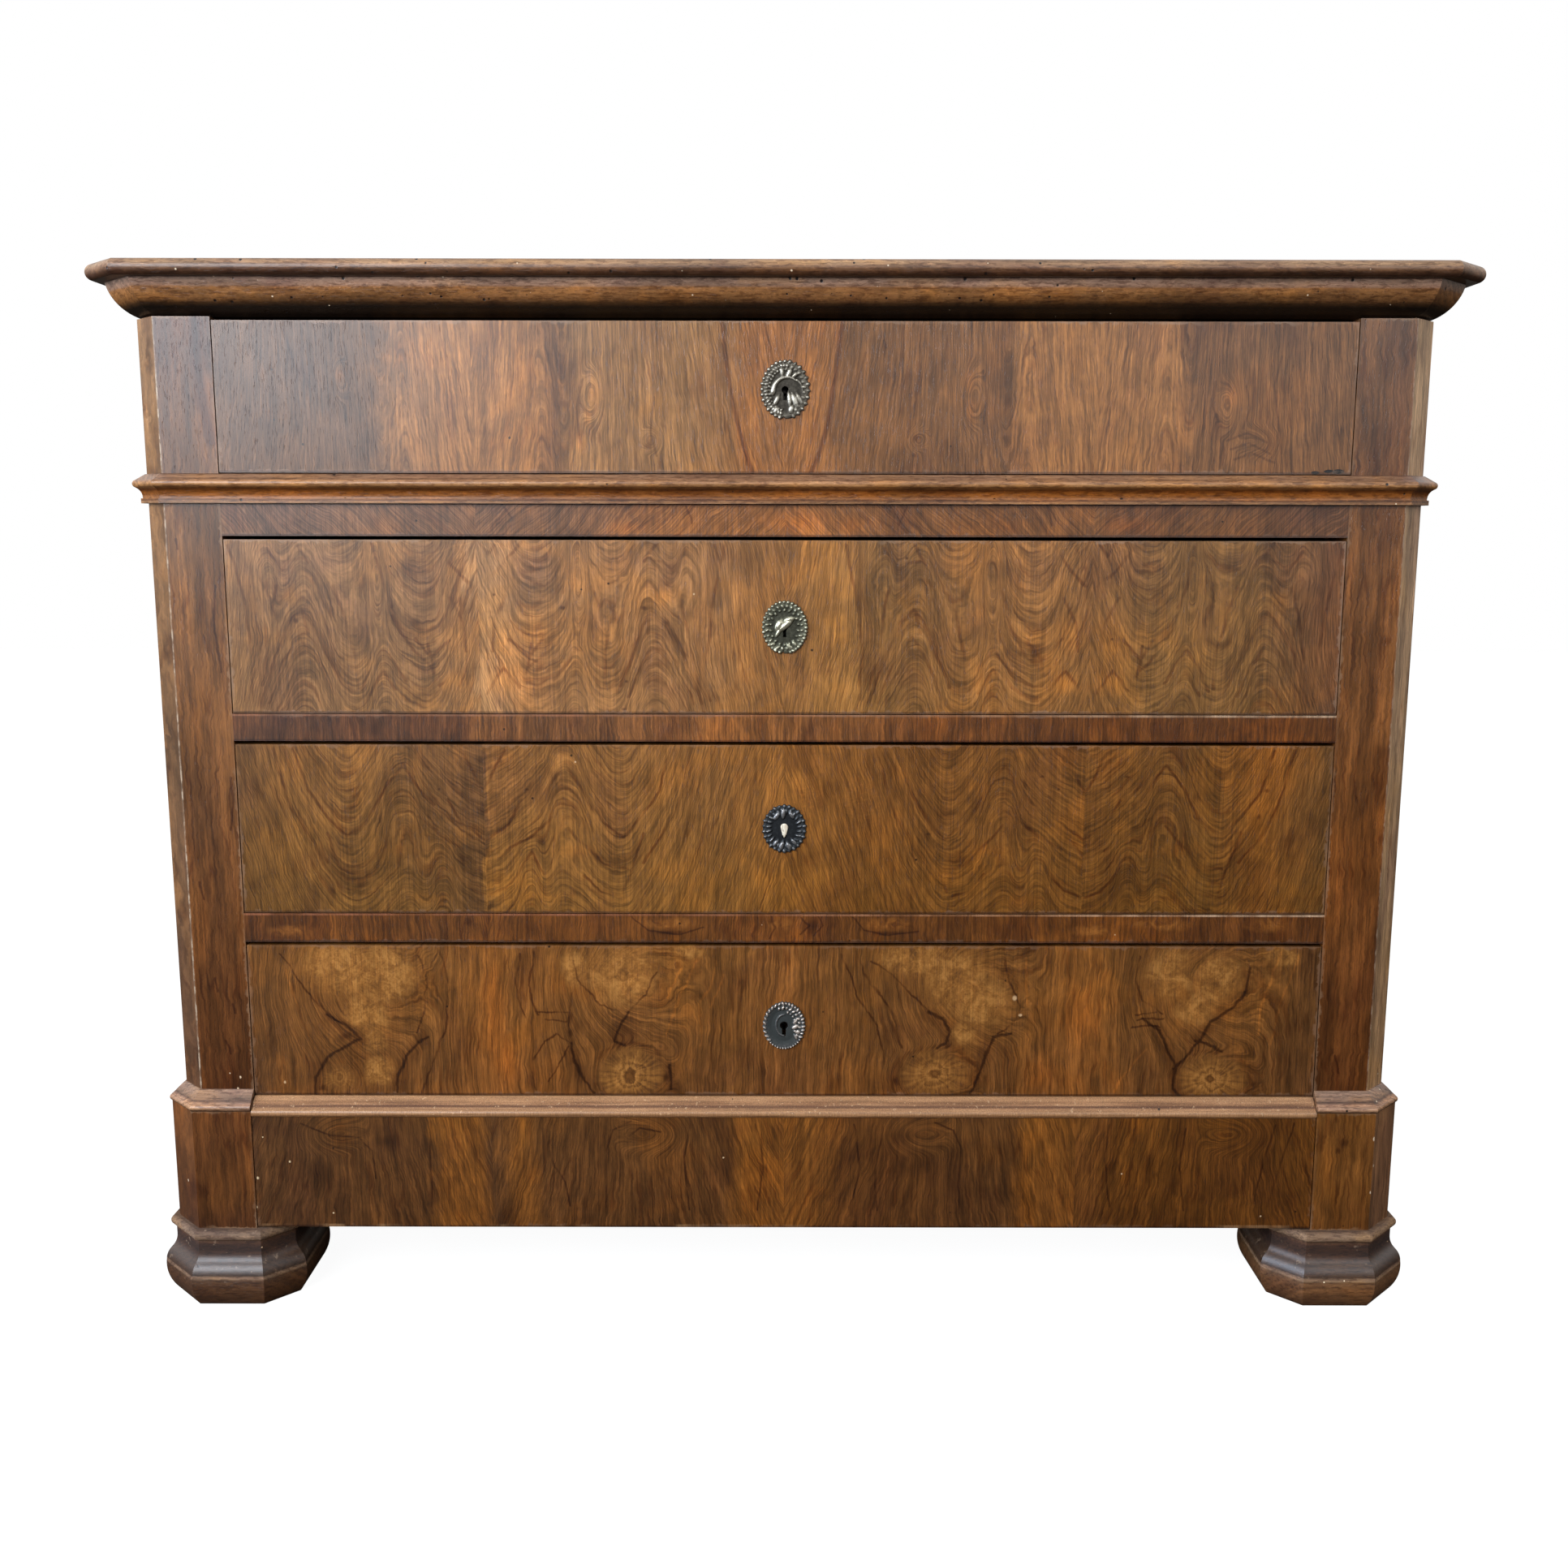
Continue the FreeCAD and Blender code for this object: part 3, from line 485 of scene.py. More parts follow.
# %% Group: growth lines
def build_growth():
    """Colour bands, thin dark lines and fine threads that follow a field, as growth lines follow a tree."""
    inputs = [("Field", "number", 0.0), ("Along", "number", 0.0), ("Up", "number", 0.0), ("Leaf", "number", 0.0),
              ("Bands", "number", 60.0), ("Lines", "number", 70.0), ("Thin", "number", 0.035)]
    outputs = [("Band", "number"), ("Line", "number"), ("Fine", "number")]
    built, tree, start, end = new_group("growth_lines", inputs, outputs)
    spot = tree.join(start["Along"], start["Leaf"], start["Up"])
    wobble = (tree.noise(spot, 85.0, 2.0, 0.6) - 0.5) * 0.007
    field = start["Field"] + wobble
    upward = start["Up"] + start["Leaf"]
    band = tree.noise(tree.join(field * start["Bands"], start["Along"] * 7.0,
                                upward * 7.0), 1.0, 4.0, 0.6)
    wave = tree.noise(tree.join(field * start["Lines"], start["Along"] * 9.0,
                                upward * 9.0), 1.0, 1.0, 0.5)
    strong = tree.noise(spot, 24.0, 2.0)
    line = tree.fall(tree.size(wave - 0.5) / start["Thin"], 0.0, 1.0)
    line = line * tree.fade(strong, 0.36, 0.6)
    other = tree.fall(tree.size(wave - 0.6) / start["Thin"], 0.0, 0.7)
    other = other * tree.fade(strong, 0.4, 0.62, 0.6, 0.1)
    threads = field * (start["Lines"] * 4.4)
    fine = tree.noise(tree.join(threads, start["Along"] * 26.0, upward * 26.0),
                      1.0, 3.0, 0.65)
    finish_group(tree, end, {"Band": band, "Line": tree.larger(line, other), "Fine": fine})
    return built


growth_group = build_growth()
print("group", growth_group.name)

# %% Group: clouds
def build_mottle():
    """Clouds in the wood: lighter and darker, golden, and dusky."""
    outputs = [("Cloud", "number"), ("Gold", "number"), ("Dusk", "number")]
    built, tree, start, end = new_group("mottle", [("Vector", "vector", None)], outputs)
    cloud = tree.noise(tree.scaled(start["Vector"], 46.0, 46.0, 30.0), 1.0, 5.0, 0.65, 0.5)
    slow = tree.noise(tree.scaled(start["Vector"], 15.0, 15.0, 12.0), 1.0, 3.0, 0.6, 0.4)
    finish_group(tree, end, {"Cloud": cloud, "Gold": tree.fade(slow, 0.5, 0.66), "Dusk": tree.fade(slow, 0.48, 0.34)})
    return built


mottle_group = build_mottle()
print("group", mottle_group.name)

# %% Group: one stroke, for a dark vein or a scratch
def build_stroke():
    """1 on the straight run from Start to End, falling to 0 at Width beside it."""
    inputs = [("Point", "vector", None), ("Start", "vector", None), ("End", "vector", None),
              ("Width", "number", 0.003)]
    built, tree, start, end = new_group("stroke", inputs, [("Mask", "number")])
    run = tree.vector("SUBTRACT", start["End"], start["Start"])
    there = tree.vector("SUBTRACT", start["Point"], start["Start"])
    along = tree.vector("DOT_PRODUCT", there, run, "Value")
    whole = tree.vector("DOT_PRODUCT", run, run, "Value")
    share = tree.math("MINIMUM", tree.larger(along / whole, 0.0), 1.0)
    foot = tree.only(tree.node("VectorMath", {0: run, "Scale": share}, operation="SCALE"))
    gap = tree.vector("LENGTH", tree.vector("SUBTRACT", there, foot), output="Value")
    mask = tree.fall(gap / start["Width"], 0.2, 1.0)
    finish_group(tree, end, {"Mask": mask})
    return built


stroke_group = build_stroke()

# %% Group: one round patch, for a burl or a knot
def build_patch():
    """1 in the middle of an oval, 0 outside it, with Reach the distance from the middle in radii."""
    inputs = [("Point", "vector", None), ("Centre", "vector", None), ("Radii", "vector", (0.02, 1.0, 0.02)),
              ("Core", "number", 0.6)]
    built, tree, start, end = new_group("oval_patch", inputs, [("Mask", "number"), ("Reach", "number")])
    off = tree.vector("SUBTRACT", start["Point"], start["Centre"])
    reach = tree.vector("LENGTH", tree.vector("DIVIDE", off, start["Radii"]), output="Value")
    mask = tree.fall(reach, start["Core"], 1.0)
    finish_group(tree, end, {"Mask": mask, "Reach": reach})
    return built


patch_group = build_patch()
print("groups", stroke_group.name, patch_group.name)

# %% [markdown]
# Wear shows first along the edges, where hands, dusters and knees rub the polish off, and
# worm has left a few round holes in the soft walnut of the mouldings. Edge wear is found
# from the piece's own box: a point close to two of its faces is near an edge. On the fronts
# and rails the same edge band is also a painted sheen, where the rounded edges catch the light.

# %% Group: edge wear and edge sheen
def build_edge_wear():
    inputs = [("Vector", "vector", None), ("Low", "vector", None), ("High", "vector", None),
              ("Width", "number", 0.003)]
    built, tree, start, end = new_group("edge_wear_and_sheen", inputs, [("Wear", "number")])
    low = tree.vector("SUBTRACT", start["Vector"], start["Low"])
    high = tree.vector("SUBTRACT", start["High"], start["Vector"])
    x, y, z = tree.split(tree.vector("MINIMUM", low, high))
    first = tree.math("MINIMUM", x, tree.math("MINIMUM", y, z))
    last = tree.larger(x, tree.larger(y, z))
    middle = x + (y + z) - (first + last)
    ragged = tree.noise(start["Vector"], 130.0, 3.0, 0.6)
    patchy = tree.noise(start["Vector"], 17.0, 2.0, 0.5)
    reach = start["Width"] * tree.fade(ragged, 0.3, 0.75, 0.15, 1.6)
    wear = tree.fall(middle / reach, 0.4, 1.0)
    wear = wear * tree.fade(patchy, 0.35, 0.65, 0.15, 1.0)
    finish_group(tree, end, {"Wear": wear})
    return built


edge_sheen_and_wear_group = build_edge_wear()

# %% Group: worm holes and chips
def build_specks():
    """Round dark worm holes and small pale chips: balls scattered in space, seen where a surface cuts them."""
    inputs = [("Vector", "vector", None), ("Holes", "number", 0.4), ("Chips", "number", 0.15),
              ("Close", "number", 80.0)]
    built, tree, start, end = new_group("worm_and_chips", inputs, [("Hole", "number"), ("Chip", "number")])
    flat = tree.vector("SCALE", start["Vector"])
    tree.plug(flat.socket.node.inputs["Scale"], start["Close"])
    results = {}
    for label, share, shift, size in (("Hole", "Holes", 0.0, 0.14), ("Chip", "Chips", 31.7, 0.09)):
        moved = tree.vector("ADD", flat, (shift, shift * 0.7, 0.0))
        cell = tree.node("TexVoronoi", {"Vector": moved, "Scale": 1.0}, voronoi_dimensions="3D")
        pick, grow, spare = tree.split(cell.outputs["Color"])
        chosen = tree.math("LESS_THAN", pick, start[share])
        radius = (grow + 0.35) * size
        spot = tree.fall(tree.only(cell, "Distance") / radius, 0.6, 1.1)
        results[label] = spot * chosen
    finish_group(tree, end, results)
    return built


specks_group = build_specks()
print("groups", edge_sheen_and_wear_group.name, specks_group.name)

# %% [markdown]
# ## Polish
#
# A finish is laid on in layers: a ground colour, then tints, clouds, lines, wear and chips
# over it. So a finish under way keeps its colour so far, and each call adds one layer. Every
# wooden finish ends the same way: the colour, a roughness and a relief go into one
# Principled shader. The polish is wax over old shellac, so the roughness stays in the middle
# and changes a little with the grain. The relief is only the pores and hairlines.

# %% A finish under way
def on_front(x, z):
    """A point of the front, from millimetres."""
    return (x / 1000.0, 0.0, z / 1000.0)


class Finish(Tree):
    """A finish under way: its material, the place on the piece, and the colour, shine and relief so far."""

    def __init__(self, name):
        self.material = bpy.data.materials.new(name)
        self.material.use_nodes = True
        super().__init__(self.material.node_tree)
        self.tree.nodes.clear()
        self.place = self.node("TexCoord").outputs["Object"]

    def tinted(self, colour, share, tint, strength=None):
        """A colour times a tint of red, green and blue, as far as share, times strength, goes."""
        if strength is not None:
            share = share * strength
        return self.mix(share, colour, (*tint, 1.0), "MULTIPLY")

    def shaded(self, colour, value, low, high, darkest, lightest):
        """A colour times a grey that goes from darkest to lightest with value."""
        grey = self.fade(value, low, high, darkest, lightest)
        return self.mix(1.0, colour, self.join(grey, grey, grey), "MULTIPLY")

    def tint(self, share, tint, strength=None):
        self.colour = self.tinted(self.colour, share, tint, strength)

    def shade(self, value, low, high, darkest, lightest):
        self.colour = self.shaded(self.colour, value, low, high, darkest, lightest)

    def vary(self, noise, amount):
        """Darkens and lightens by amount. A noise lies mostly between 0.3 and 0.7."""
        self.shade(noise, 0.3, 0.7, 1.0 - amount, 1.0 + amount)

    def paint(self, share, colour):
        """Lays another colour over what is there, as far as share goes."""
        self.colour = self.mix(share, self.colour, as_colour(colour))

    def veins(self, point, runs, width):
        """Strokes along runs of (x, z) points in millimetres, gathered in one mask."""
        mask = 0.0
        for run in runs:
            for first, last in zip(run, run[1:]):
                one = self.group(stroke_group, {"Point": point, "Start": on_front(*first), "End": on_front(*last),
                                                "Width": width / 1000.0})["Mask"]
                mask = self.larger(one, mask)
        return mask

    def ovals(self, point, places, core=0.6):
        """Soft ovals of (x, z, half width, half height) in millimetres, gathered in one mask."""
        mask = 0.0
        for x, z, wide, high in places:
            one = self.oval(point, on_front(x, z), wide, high, core)
            mask = self.larger(one["Mask"], mask)
        return mask

    def oval(self, point, centre, wide, high, core):
        return self.group(patch_group, {"Point": point, "Centre": centre,
                                        "Radii": (wide / 1000.0, 1.0, high / 1000.0), "Core": core})

    def polish(self, depth=0.0003, coat=0.0, coat_rough=0.25):
        """Wax over shellac, over pores and hairlines depth metres deep."""
        bump = self.node("Bump", {"Height": self.relief, "Strength": 0.5, "Distance": depth})
        shader = self.node("BsdfPrincipled", {
            "Base Color": self.colour, "Roughness": self.shine, "Normal": bump.outputs[0],
            "IOR": 1.5, "Coat Weight": coat, "Coat Roughness": coat_rough})
        self.node("OutputMaterial", {"Surface": shader.outputs[0]})
        return self.material

    def burnish(self, height, strength, metallic):
        """Bare metal with the roughness so far."""
        bump = self.node("Bump", {"Height": height, "Strength": strength, "Distance": 0.0002})
        shader = self.node("BsdfPrincipled", {"Base Color": self.colour, "Roughness": self.shine,
                                              "Normal": bump.outputs[0], "Metallic": metallic})
        self.node("OutputMaterial", {"Surface": shader.outputs[0]})
        return self.material


print("a finish can be laid on")

# %% Dressing the pieces
def dress(material, *nodes):
    """Gives CAD nodes a material in all their slots."""
    for name in nodes:
        slots = frame["nodes"][name].material_slots
        if not slots:
            frame["nodes"][name].data.materials.append(material)
        for slot in slots:
            slot.material = material


print("pieces to dress:", len(frame["nodes"]))

# %% [markdown]
# ## Veneer: leaves folded like the pages of a book
#
# The fronts are covered with thin leaves sawn one after another from one log. Each leaf is
# turned over like a page, so the figure is mirrored at every joint: in the middle of the
# chest and 283 mm to each side of it. Folding the X axis to and fro gives that at once. A
# small change from leaf to leaf keeps the halves from being exact copies, as in real wood.

# %% Folding and wandering
leaf_width = 0.283
front_width = 1.04


def folded(wood):
    """X and Z, the way across the folded leaf, and a small number for each leaf."""
    x, y, z = wood.split(wood.place)
    fold = wood.math("PINGPONG", x, leaf_width)
    sheet = wood.math("FLOOR", x / leaf_width)
    return x, z, fold, sheet * 0.11


def wander(wood, reach, scale):
    """A slow drift of reach metres, so that no drawn line is straight."""
    drift = wood.noise_colour(wood.place, scale, 4.0, 0.6)
    drift = wood.vector("SUBTRACT", drift, (0.5, 0.5, 0.5))
    return wood.split(wood.scaled(drift, reach, reach, reach))


def drawn(wood, fold, points):
    """The height in metres of a growth line over the folded leaf, from points in millimetres."""
    heights = [height for place, height in points]
    low, rise = min(heights), max(heights) - min(heights)
    line = [(place / (leaf_width * 1000.0), (height - low) / rise) for place, height in points]
    curve = wood.curve(fold / leaf_width, line, pointed=False)
    return curve * (rise / 1000.0) + low / 1000.0


print("leaf width", leaf_width)

# %% The ground colour
def ground(wood, x, z, low, high, stops, lowest=(1.0, 1.0, 1.0)):
    """The ground colour: a few tones, each at its panel's border in millimetres, tinted towards the bottom."""
    drift = wood.noise(wood.join(x * 40.0, 0.0, z * 22.0), 1.0, 4.0, 0.6)
    sway = 0.05
    share = x / front_width + (0.5 - sway / 2.0 + drift * sway)
    colour = wood.ramp(share, [(0.5 + place / (front_width * 1000.0), tone) for place, tone in stops])
    return wood.tinted(colour, wood.fall(z, low, high), lowest)


bark, gold, dusk = (0.46, 0.33, 0.24), (1.26, 1.16, 0.92), (0.8, 0.76, 0.84)
pore_tint = (0.5, 0.42, 0.38)
print("tints: bark", bark, "gold", gold, "dusk", dusk)

# %% The figure that every veneered front shares
def figured(wood, fold, z, sheet, field, bands, lines, thin=0.035, clouds=1.0, band=0.18):
    """Clouds, growth bands, dark lines and fine threads that follow the field."""
    spot = wood.join(fold, sheet, z)
    mottle = wood.group(mottle_group, {"Vector": spot})
    growth = wood.group(growth_group, {"Field": field, "Along": fold, "Up": z, "Leaf": sheet,
                                       "Bands": bands, "Lines": lines, "Thin": thin})
    wood.tint(mottle["Gold"], gold, 0.8 * clouds)
    wood.tint(mottle["Dusk"], dusk, 0.8 * clouds)
    wood.vary(mottle["Cloud"], 0.22 * clouds)
    wood.vary(growth["Band"], band)
    wood.vary(growth["Fine"], 0.38)
    wood.tint(growth["Line"], bark, 0.6)


def polish_front(wood, node, grain, rough=0.3, edge=(158, 128, 104), hair=0.24, tint=(1.0, 1.0, 1.0)):
    """Hairlines, pores, a rim that is partly wear and partly painted sheen, painted shade along the lower edge and in
    the keyhole, specks, then the polish.
    """
    wood.tint(1.0, tint)
    wood.vary(grain["Hair"], hair)
    wood.tint(grain["Pore"], pore_tint, 0.6)
    low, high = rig.box(node)
    worn = wood.group(edge_sheen_and_wear_group, {"Vector": wood.place, "Low": low, "High": high, "Width": 0.0035})
    # A band along the edges, partly rubbed wear and partly a painted sheen where the rounded edges catch the light.
    wood.paint(worn["Wear"] * 0.45, edge)
    # Painted shade along the piece's lower edge, over the gap below it.
    below = wood.fall(wood.split(wood.place)["Z"], low[2] + 0.0012, low[2] + 0.0024, 0.75)
    wood.tint(below, (0.3, 0.24, 0.2))
    specks = wood.group(specks_group, {"Vector": wood.place, "Holes": 0.03, "Chips": 0.008})
    wood.paint(specks["Chip"], (196, 164, 126))
    wood.paint(specks["Hole"] * 0.9, (24, 14, 8))
    if node.startswith("drawer_") and node.endswith("_front"):
        # Painted shade: round the keyhole the veneer is painted near black where it shows through the plate's hole.
        plate_low, plate_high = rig.box(node.replace("front", "escutcheon"))
        keyhole = (0.0, low[1], (plate_low[2] + plate_high[2]) / 2.0)
        under = wood.vector("LENGTH", wood.vector("SUBTRACT", wood.place, keyhole), output="Value")
        wood.paint(wood.fall(under, 0.009, 0.014), (14, 9, 7))
    cloud = wood.noise(wood.place, 9.0, 3.0, 0.6)
    wood.shine = rough - 0.05 + cloud * 0.1
    wood.shine = wood.shine + grain["Pore"] * 0.12
    wood.relief = grain["Hair"] * 0.25 - grain["Pore"]
    return wood.polish(0.0002)


# %% [markdown]
# ## Drawer 1
#
# The top drawer is veneered with straight-grained leaves that show broad bands: dusky at the
# left end, warm light panels between two darker stripes, and an orange middle bounded by two
# dark growth lines that lean together downwards. Small light eyes sit beside the stripes.

# %% Drawer 1
def front_1():
    wood = Finish("veneer_drawer_1")
    place = wood.place
    x, z, fold, sheet = folded(wood)
    lean = (z - 0.87) * wood.fade(fold, 0.0, 0.26, 0.2, -0.12)
    off = wander(wood, 0.014, 11.0)
    point = wood.join(x + off["X"] * 0.4, 0.0,
                      z + off["Z"] * 0.5)
    grain = wood.group(grain_group, {"Vector": place})
    dusky, light, stripe, warm, orange = (85, 59, 41), (138, 90, 48), (110, 71, 39), (127, 85, 49), (133, 84, 43)
    wood.colour = ground(wood, x, z, 0.80, 0.94, [
        (-515, dusky), (-377, dusky), (-355, warm), (-300, light), (-231, light), (-208, stripe),
        (-180, (130, 90, 53)), (-90, (134, 93, 55)), (-45, warm), (-38, orange), (38, orange), (52, stripe),
        (195, stripe), (215, light), (355, light), (368, stripe), (515, stripe)])
    wood.tint(wood.ovals(place, [(0, 930, 52, 70)], 0.2), (1.08, 1.04, 1.05))
    round_eyes = wood.ovals(point, [
        (-172, 870, 15, 34), (-402, 884, 12, 26), (168, 868, 16, 40), (402, 862, 16, 36), (-120, 832, 14, 16),
        (120, 832, 14, 14), (430, 830, 26, 18)], 0.0)
    swell = round_eyes * 0.02
    away = fold + off["X"] + swell - lean
    busy = wood.fade(fold, 0.195, 0.225, 1.0, 0.25)
    field = away * (2.2 + busy * 0.6)
    figured(wood, fold, z, sheet, field, 48.0, 56.0, 0.045, 0.8, 0.14)
    ripple = wood.noise(wood.join(x * 190.0, 0.0,
                                  (z + x * 0.35) * 120.0), 1.0, 2.0, 0.5)
    ripple = wood.mix(busy, wood.join(ripple, ripple, ripple), (0.5, 0.5, 0.5, 1.0))
    wood.vary(wood.split(ripple)["X"], 0.08)
    dark = wood.veins(point, [
        [(-57, 936), (-52, 890), (-44, 850), (-37, 824), (-30, 804)],
        [(52, 936), (46, 890), (40, 850), (32, 824), (24, 804)]], 3.4)
    wood.tint(dark, bark, 0.8)
    dim = wood.veins(point, [
        [(192, 936), (198, 880), (214, 804)], [(372, 936), (364, 880), (354, 804)],
        [(-206, 936), (-208, 870), (-216, 804)], [(-186, 905), (-192, 880), (-190, 840)],
        [(186, 900), (190, 870), (184, 830)], [(384, 900), (382, 870), (388, 838)]], 12.0)
    wood.tint(dim, (0.62, 0.56, 0.56), 0.4)
    hard = wood.veins(point, [
        [(72, 908), (66, 884), (62, 860)], [(112, 872), (113, 850), (112, 834)],
        [(-118, 870), (-122, 840), (-116, 818)], [(-182, 884), (-188, 860), (-186, 836)],
        [(178, 892), (182, 868), (180, 846)], [(388, 884), (386, 862), (392, 848)],
        [(416, 880), (420, 860), (414, 842)], [(446, 905), (440, 880), (446, 850), (450, 820)],
        [(88, 918), (90, 912)], [(400, 832), (418, 838), (436, 830)], [(404, 824), (420, 829), (440, 820)],
        [(408, 815), (424, 820), (444, 812)], [(-400, 905), (-394, 880), (-398, 850)],
        [(-450, 930), (-440, 890), (-446, 850)]], 1.7)
    wood.tint(hard, (0.45, 0.38, 0.34), 0.6)
    eyes = wood.ovals(point, [
        (-172, 872, 8, 20), (-402, 888, 7, 13), (166, 882, 8, 15), (168, 856, 7, 20), (403, 872, 10, 17),
        (-184, 828, 8, 16), (-178, 850, 5, 14)], 0.0)
    wood.tint(eyes, (1.5, 1.34, 1.1), 0.9)
    glints = wood.veins(point, [[(176, 888), (177, 862), (174, 848)], [(-166, 892), (-164, 868)]], 1.3)
    wood.tint(glints, (1.4, 1.36, 1.3), 0.8)
    knots = wood.ovals(point, [(120, 833, 5, 4), (118, 818, 4, 3), (-124, 826, 5, 4)], 0.2)
    wood.tint(knots, bark, 0.7)
    patch = wood.veins(place, [
        [(-460, 872), (-450, 872)], [(-460, 864), (-450, 864)], [(-460, 876), (-460, 858)],
        [(-450, 876), (-450, 842)]], 1.1)
    wood.paint(patch * 0.35, (150, 112, 84))
    chip = wood.ovals(point, [(482, 804, 4, 1.8), (494, 805, 5, 1.6), (503, 804.5, 6, 2.2)], 0.8)
    wood.paint(chip, (16, 9, 6))
    return polish_front(wood, "drawer_1_front", grain, 0.31, tint=(1.08, 1.09, 1.0))


dress(front_1(), "drawer_1_front")
print("drawer 1 veneered")

# %% [markdown]
# ## Drawers 2 and 3
#
# Here the leaves were cut nearer to the heart of the log, so the growth lines run up and
# down in peaks and valleys. One such line is drawn over the folded leaf as a curve, once for
# the upper and once for the lower part of the front. The height above that curve is the
# field that bands and veins follow, as contour lines follow a hill.

# %% Drawer 2
def front_2():
    wood = Finish("veneer_drawer_2")
    place = wood.place
    x, z, fold, sheet = folded(wood)
    off = wander(wood, 0.018, 17.0)
    across = fold + off["X"] * 0.6
    grain = wood.group(grain_group, {"Vector": place})
    lower = drawn(wood, across, [
        (0, -420), (40, -250), (72, -110), (100, -28), (122, 0), (140, -34), (158, -76), (175, -74), (193, -36),
        (212, -58), (240, -64), (262, -24), (283, 34)])
    upper = drawn(wood, across, [
        (0, -420), (40, -230), (66, -80), (90, 14), (105, -6), (125, 10), (150, -26), (178, -10), (190, 60),
        (204, -40), (235, -66), (260, -20), (283, 38)])
    line = wood.only(wood.node("Mix", {0: wood.fade(z, 0.64, 0.72), 2: lower, 3: upper}, data_type="FLOAT"))
    height = z + off["Z"] * 0.8
    field = height - line
    cool, warm, bright = (115, 79, 49), (129, 87, 52), (150, 107, 71)
    honey, brown, deep = (123, 80, 42), (112, 75, 39), (96, 60, 39)
    wood.colour = ground(wood, x, z, 0.59, 0.73, [
        (-515, cool), (-340, cool), (-292, warm), (-283, bright), (-235, warm), (-60, warm), (-10, honey),
        (50, (134, 89, 45)), (95, brown), (175, honey), (283, honey), (340, brown), (430, brown),
        (515, deep)], (1.0, 1.0, 0.93))
    wood.tint(wood.ovals(place, [(-244, 618, 56, 54)], 0.1), (1.32, 1.22, 1.12))
    wood.tint(wood.ovals(place, [(-234, 706, 44, 46)], 0.1), (0.74, 0.8, 1.0))
    figured(wood, fold, z, sheet, field, 42.0, 52.0, 0.04, 1.0, 0.16)
    point = wood.join(fold + off["X"] * 0.7, 0.0, height)
    mauve = wood.ovals(point, [
        (232, 716, 34, 26), (146, 722, 30, 16), (176, 668, 16, 24), (108, 712, 12, 26)], 0.1)
    wood.tint(mauve, (0.82, 0.8, 0.98), 0.5)
    soft = wood.veins(point, [
        [(62, 742), (72, 700), (78, 650), (76, 592)], [(92, 734), (102, 716), (112, 700)],
        [(76, 592), (92, 640), (118, 672)], [(124, 674), (142, 640), (160, 606)]], 8.0)
    wood.tint(soft, (0.62, 0.54, 0.5), 0.36)
    peaks = wood.veins(point, [
        [(78, 592), (94, 638), (108, 664), (121, 678), (130, 664), (140, 640), (154, 608)],
        [(122, 676), (126, 656)], [(86, 592), (100, 630), (118, 652), (134, 626), (146, 598)],
        [(172, 604), (180, 624), (193, 642), (204, 628), (214, 612)], [(180, 600), (193, 622), (204, 604)],
        [(188, 738), (196, 702), (204, 680)], [(92, 734), (104, 714), (112, 722), (126, 726)],
        [(118, 740), (130, 722)], [(240, 742), (262, 716), (278, 700)], [(262, 742), (272, 728), (283, 744)],
        [(236, 646), (240, 618)], [(204, 672), (222, 640), (238, 624)], [(224, 652), (238, 634), (256, 652)],
        [(56, 736), (66, 690), (72, 640), (70, 594)], [(98, 700), (90, 660), (80, 610)],
        [(258, 690), (268, 668), (272, 640)], [(246, 606), (262, 622), (276, 600)],
        [(150, 700), (158, 676), (166, 640), (168, 606)]], 2.4)
    patchy = wood.fade(wood.noise(place, 34.0, 2.0), 0.35, 0.65, 0.1, 0.75)
    wood.tint(peaks * patchy, bark)
    fan = wood.veins(point, [
        [(283, 742), (262, 738), (240, 728), (226, 712)], [(283, 742), (268, 730), (254, 714), (246, 696)],
        [(283, 742), (276, 726), (268, 708)], [(214, 740), (206, 722), (210, 704)],
        [(222, 742), (216, 726), (222, 708)]], 1.2)
    wood.tint(fan, (1.3, 1.28, 1.22), 0.6)
    glow = wood.ovals(point, [
        (262, 655, 24, 30), (232, 655, 22, 18), (262, 610, 22, 16), (112, 690, 14, 14)], 0.0)
    wood.tint(glow, (1.36, 1.22, 0.92), 0.7)
    specks = wood.fade(wood.noise(place, 420.0, 2.0, 0.5), 0.6, 0.7)
    burl = wood.ovals(place, [(-262, 650, 22, 60), (-300, 640, 14, 30)], 0.2)
    wood.tint(specks * burl, (1.34, 1.24, 1.0))
    dots = wood.ovals(place, [
        (-268, 692, 2, 2), (-205, 680, 4, 3), (-147, 612, 2.2, 2), (-150, 586, 3, 2.4), (-130, 680, 4, 3),
        (-452, 668, 3, 4), (112, 726, 2, 2), (303, 652, 2, 2)], 0.3)
    wood.tint(dots, (0.3, 0.22, 0.2), 0.85)
    seam = wood.fall(wood.size(x - -0.2835), 0.0, 0.0009, 0.45)
    wood.tint(seam, bark)
    return polish_front(wood, "drawer_2_front", grain, 0.31, tint=(1.16, 1.2, 1.12))


dress(front_2(), "drawer_2_front")
print("drawer 2 veneered")

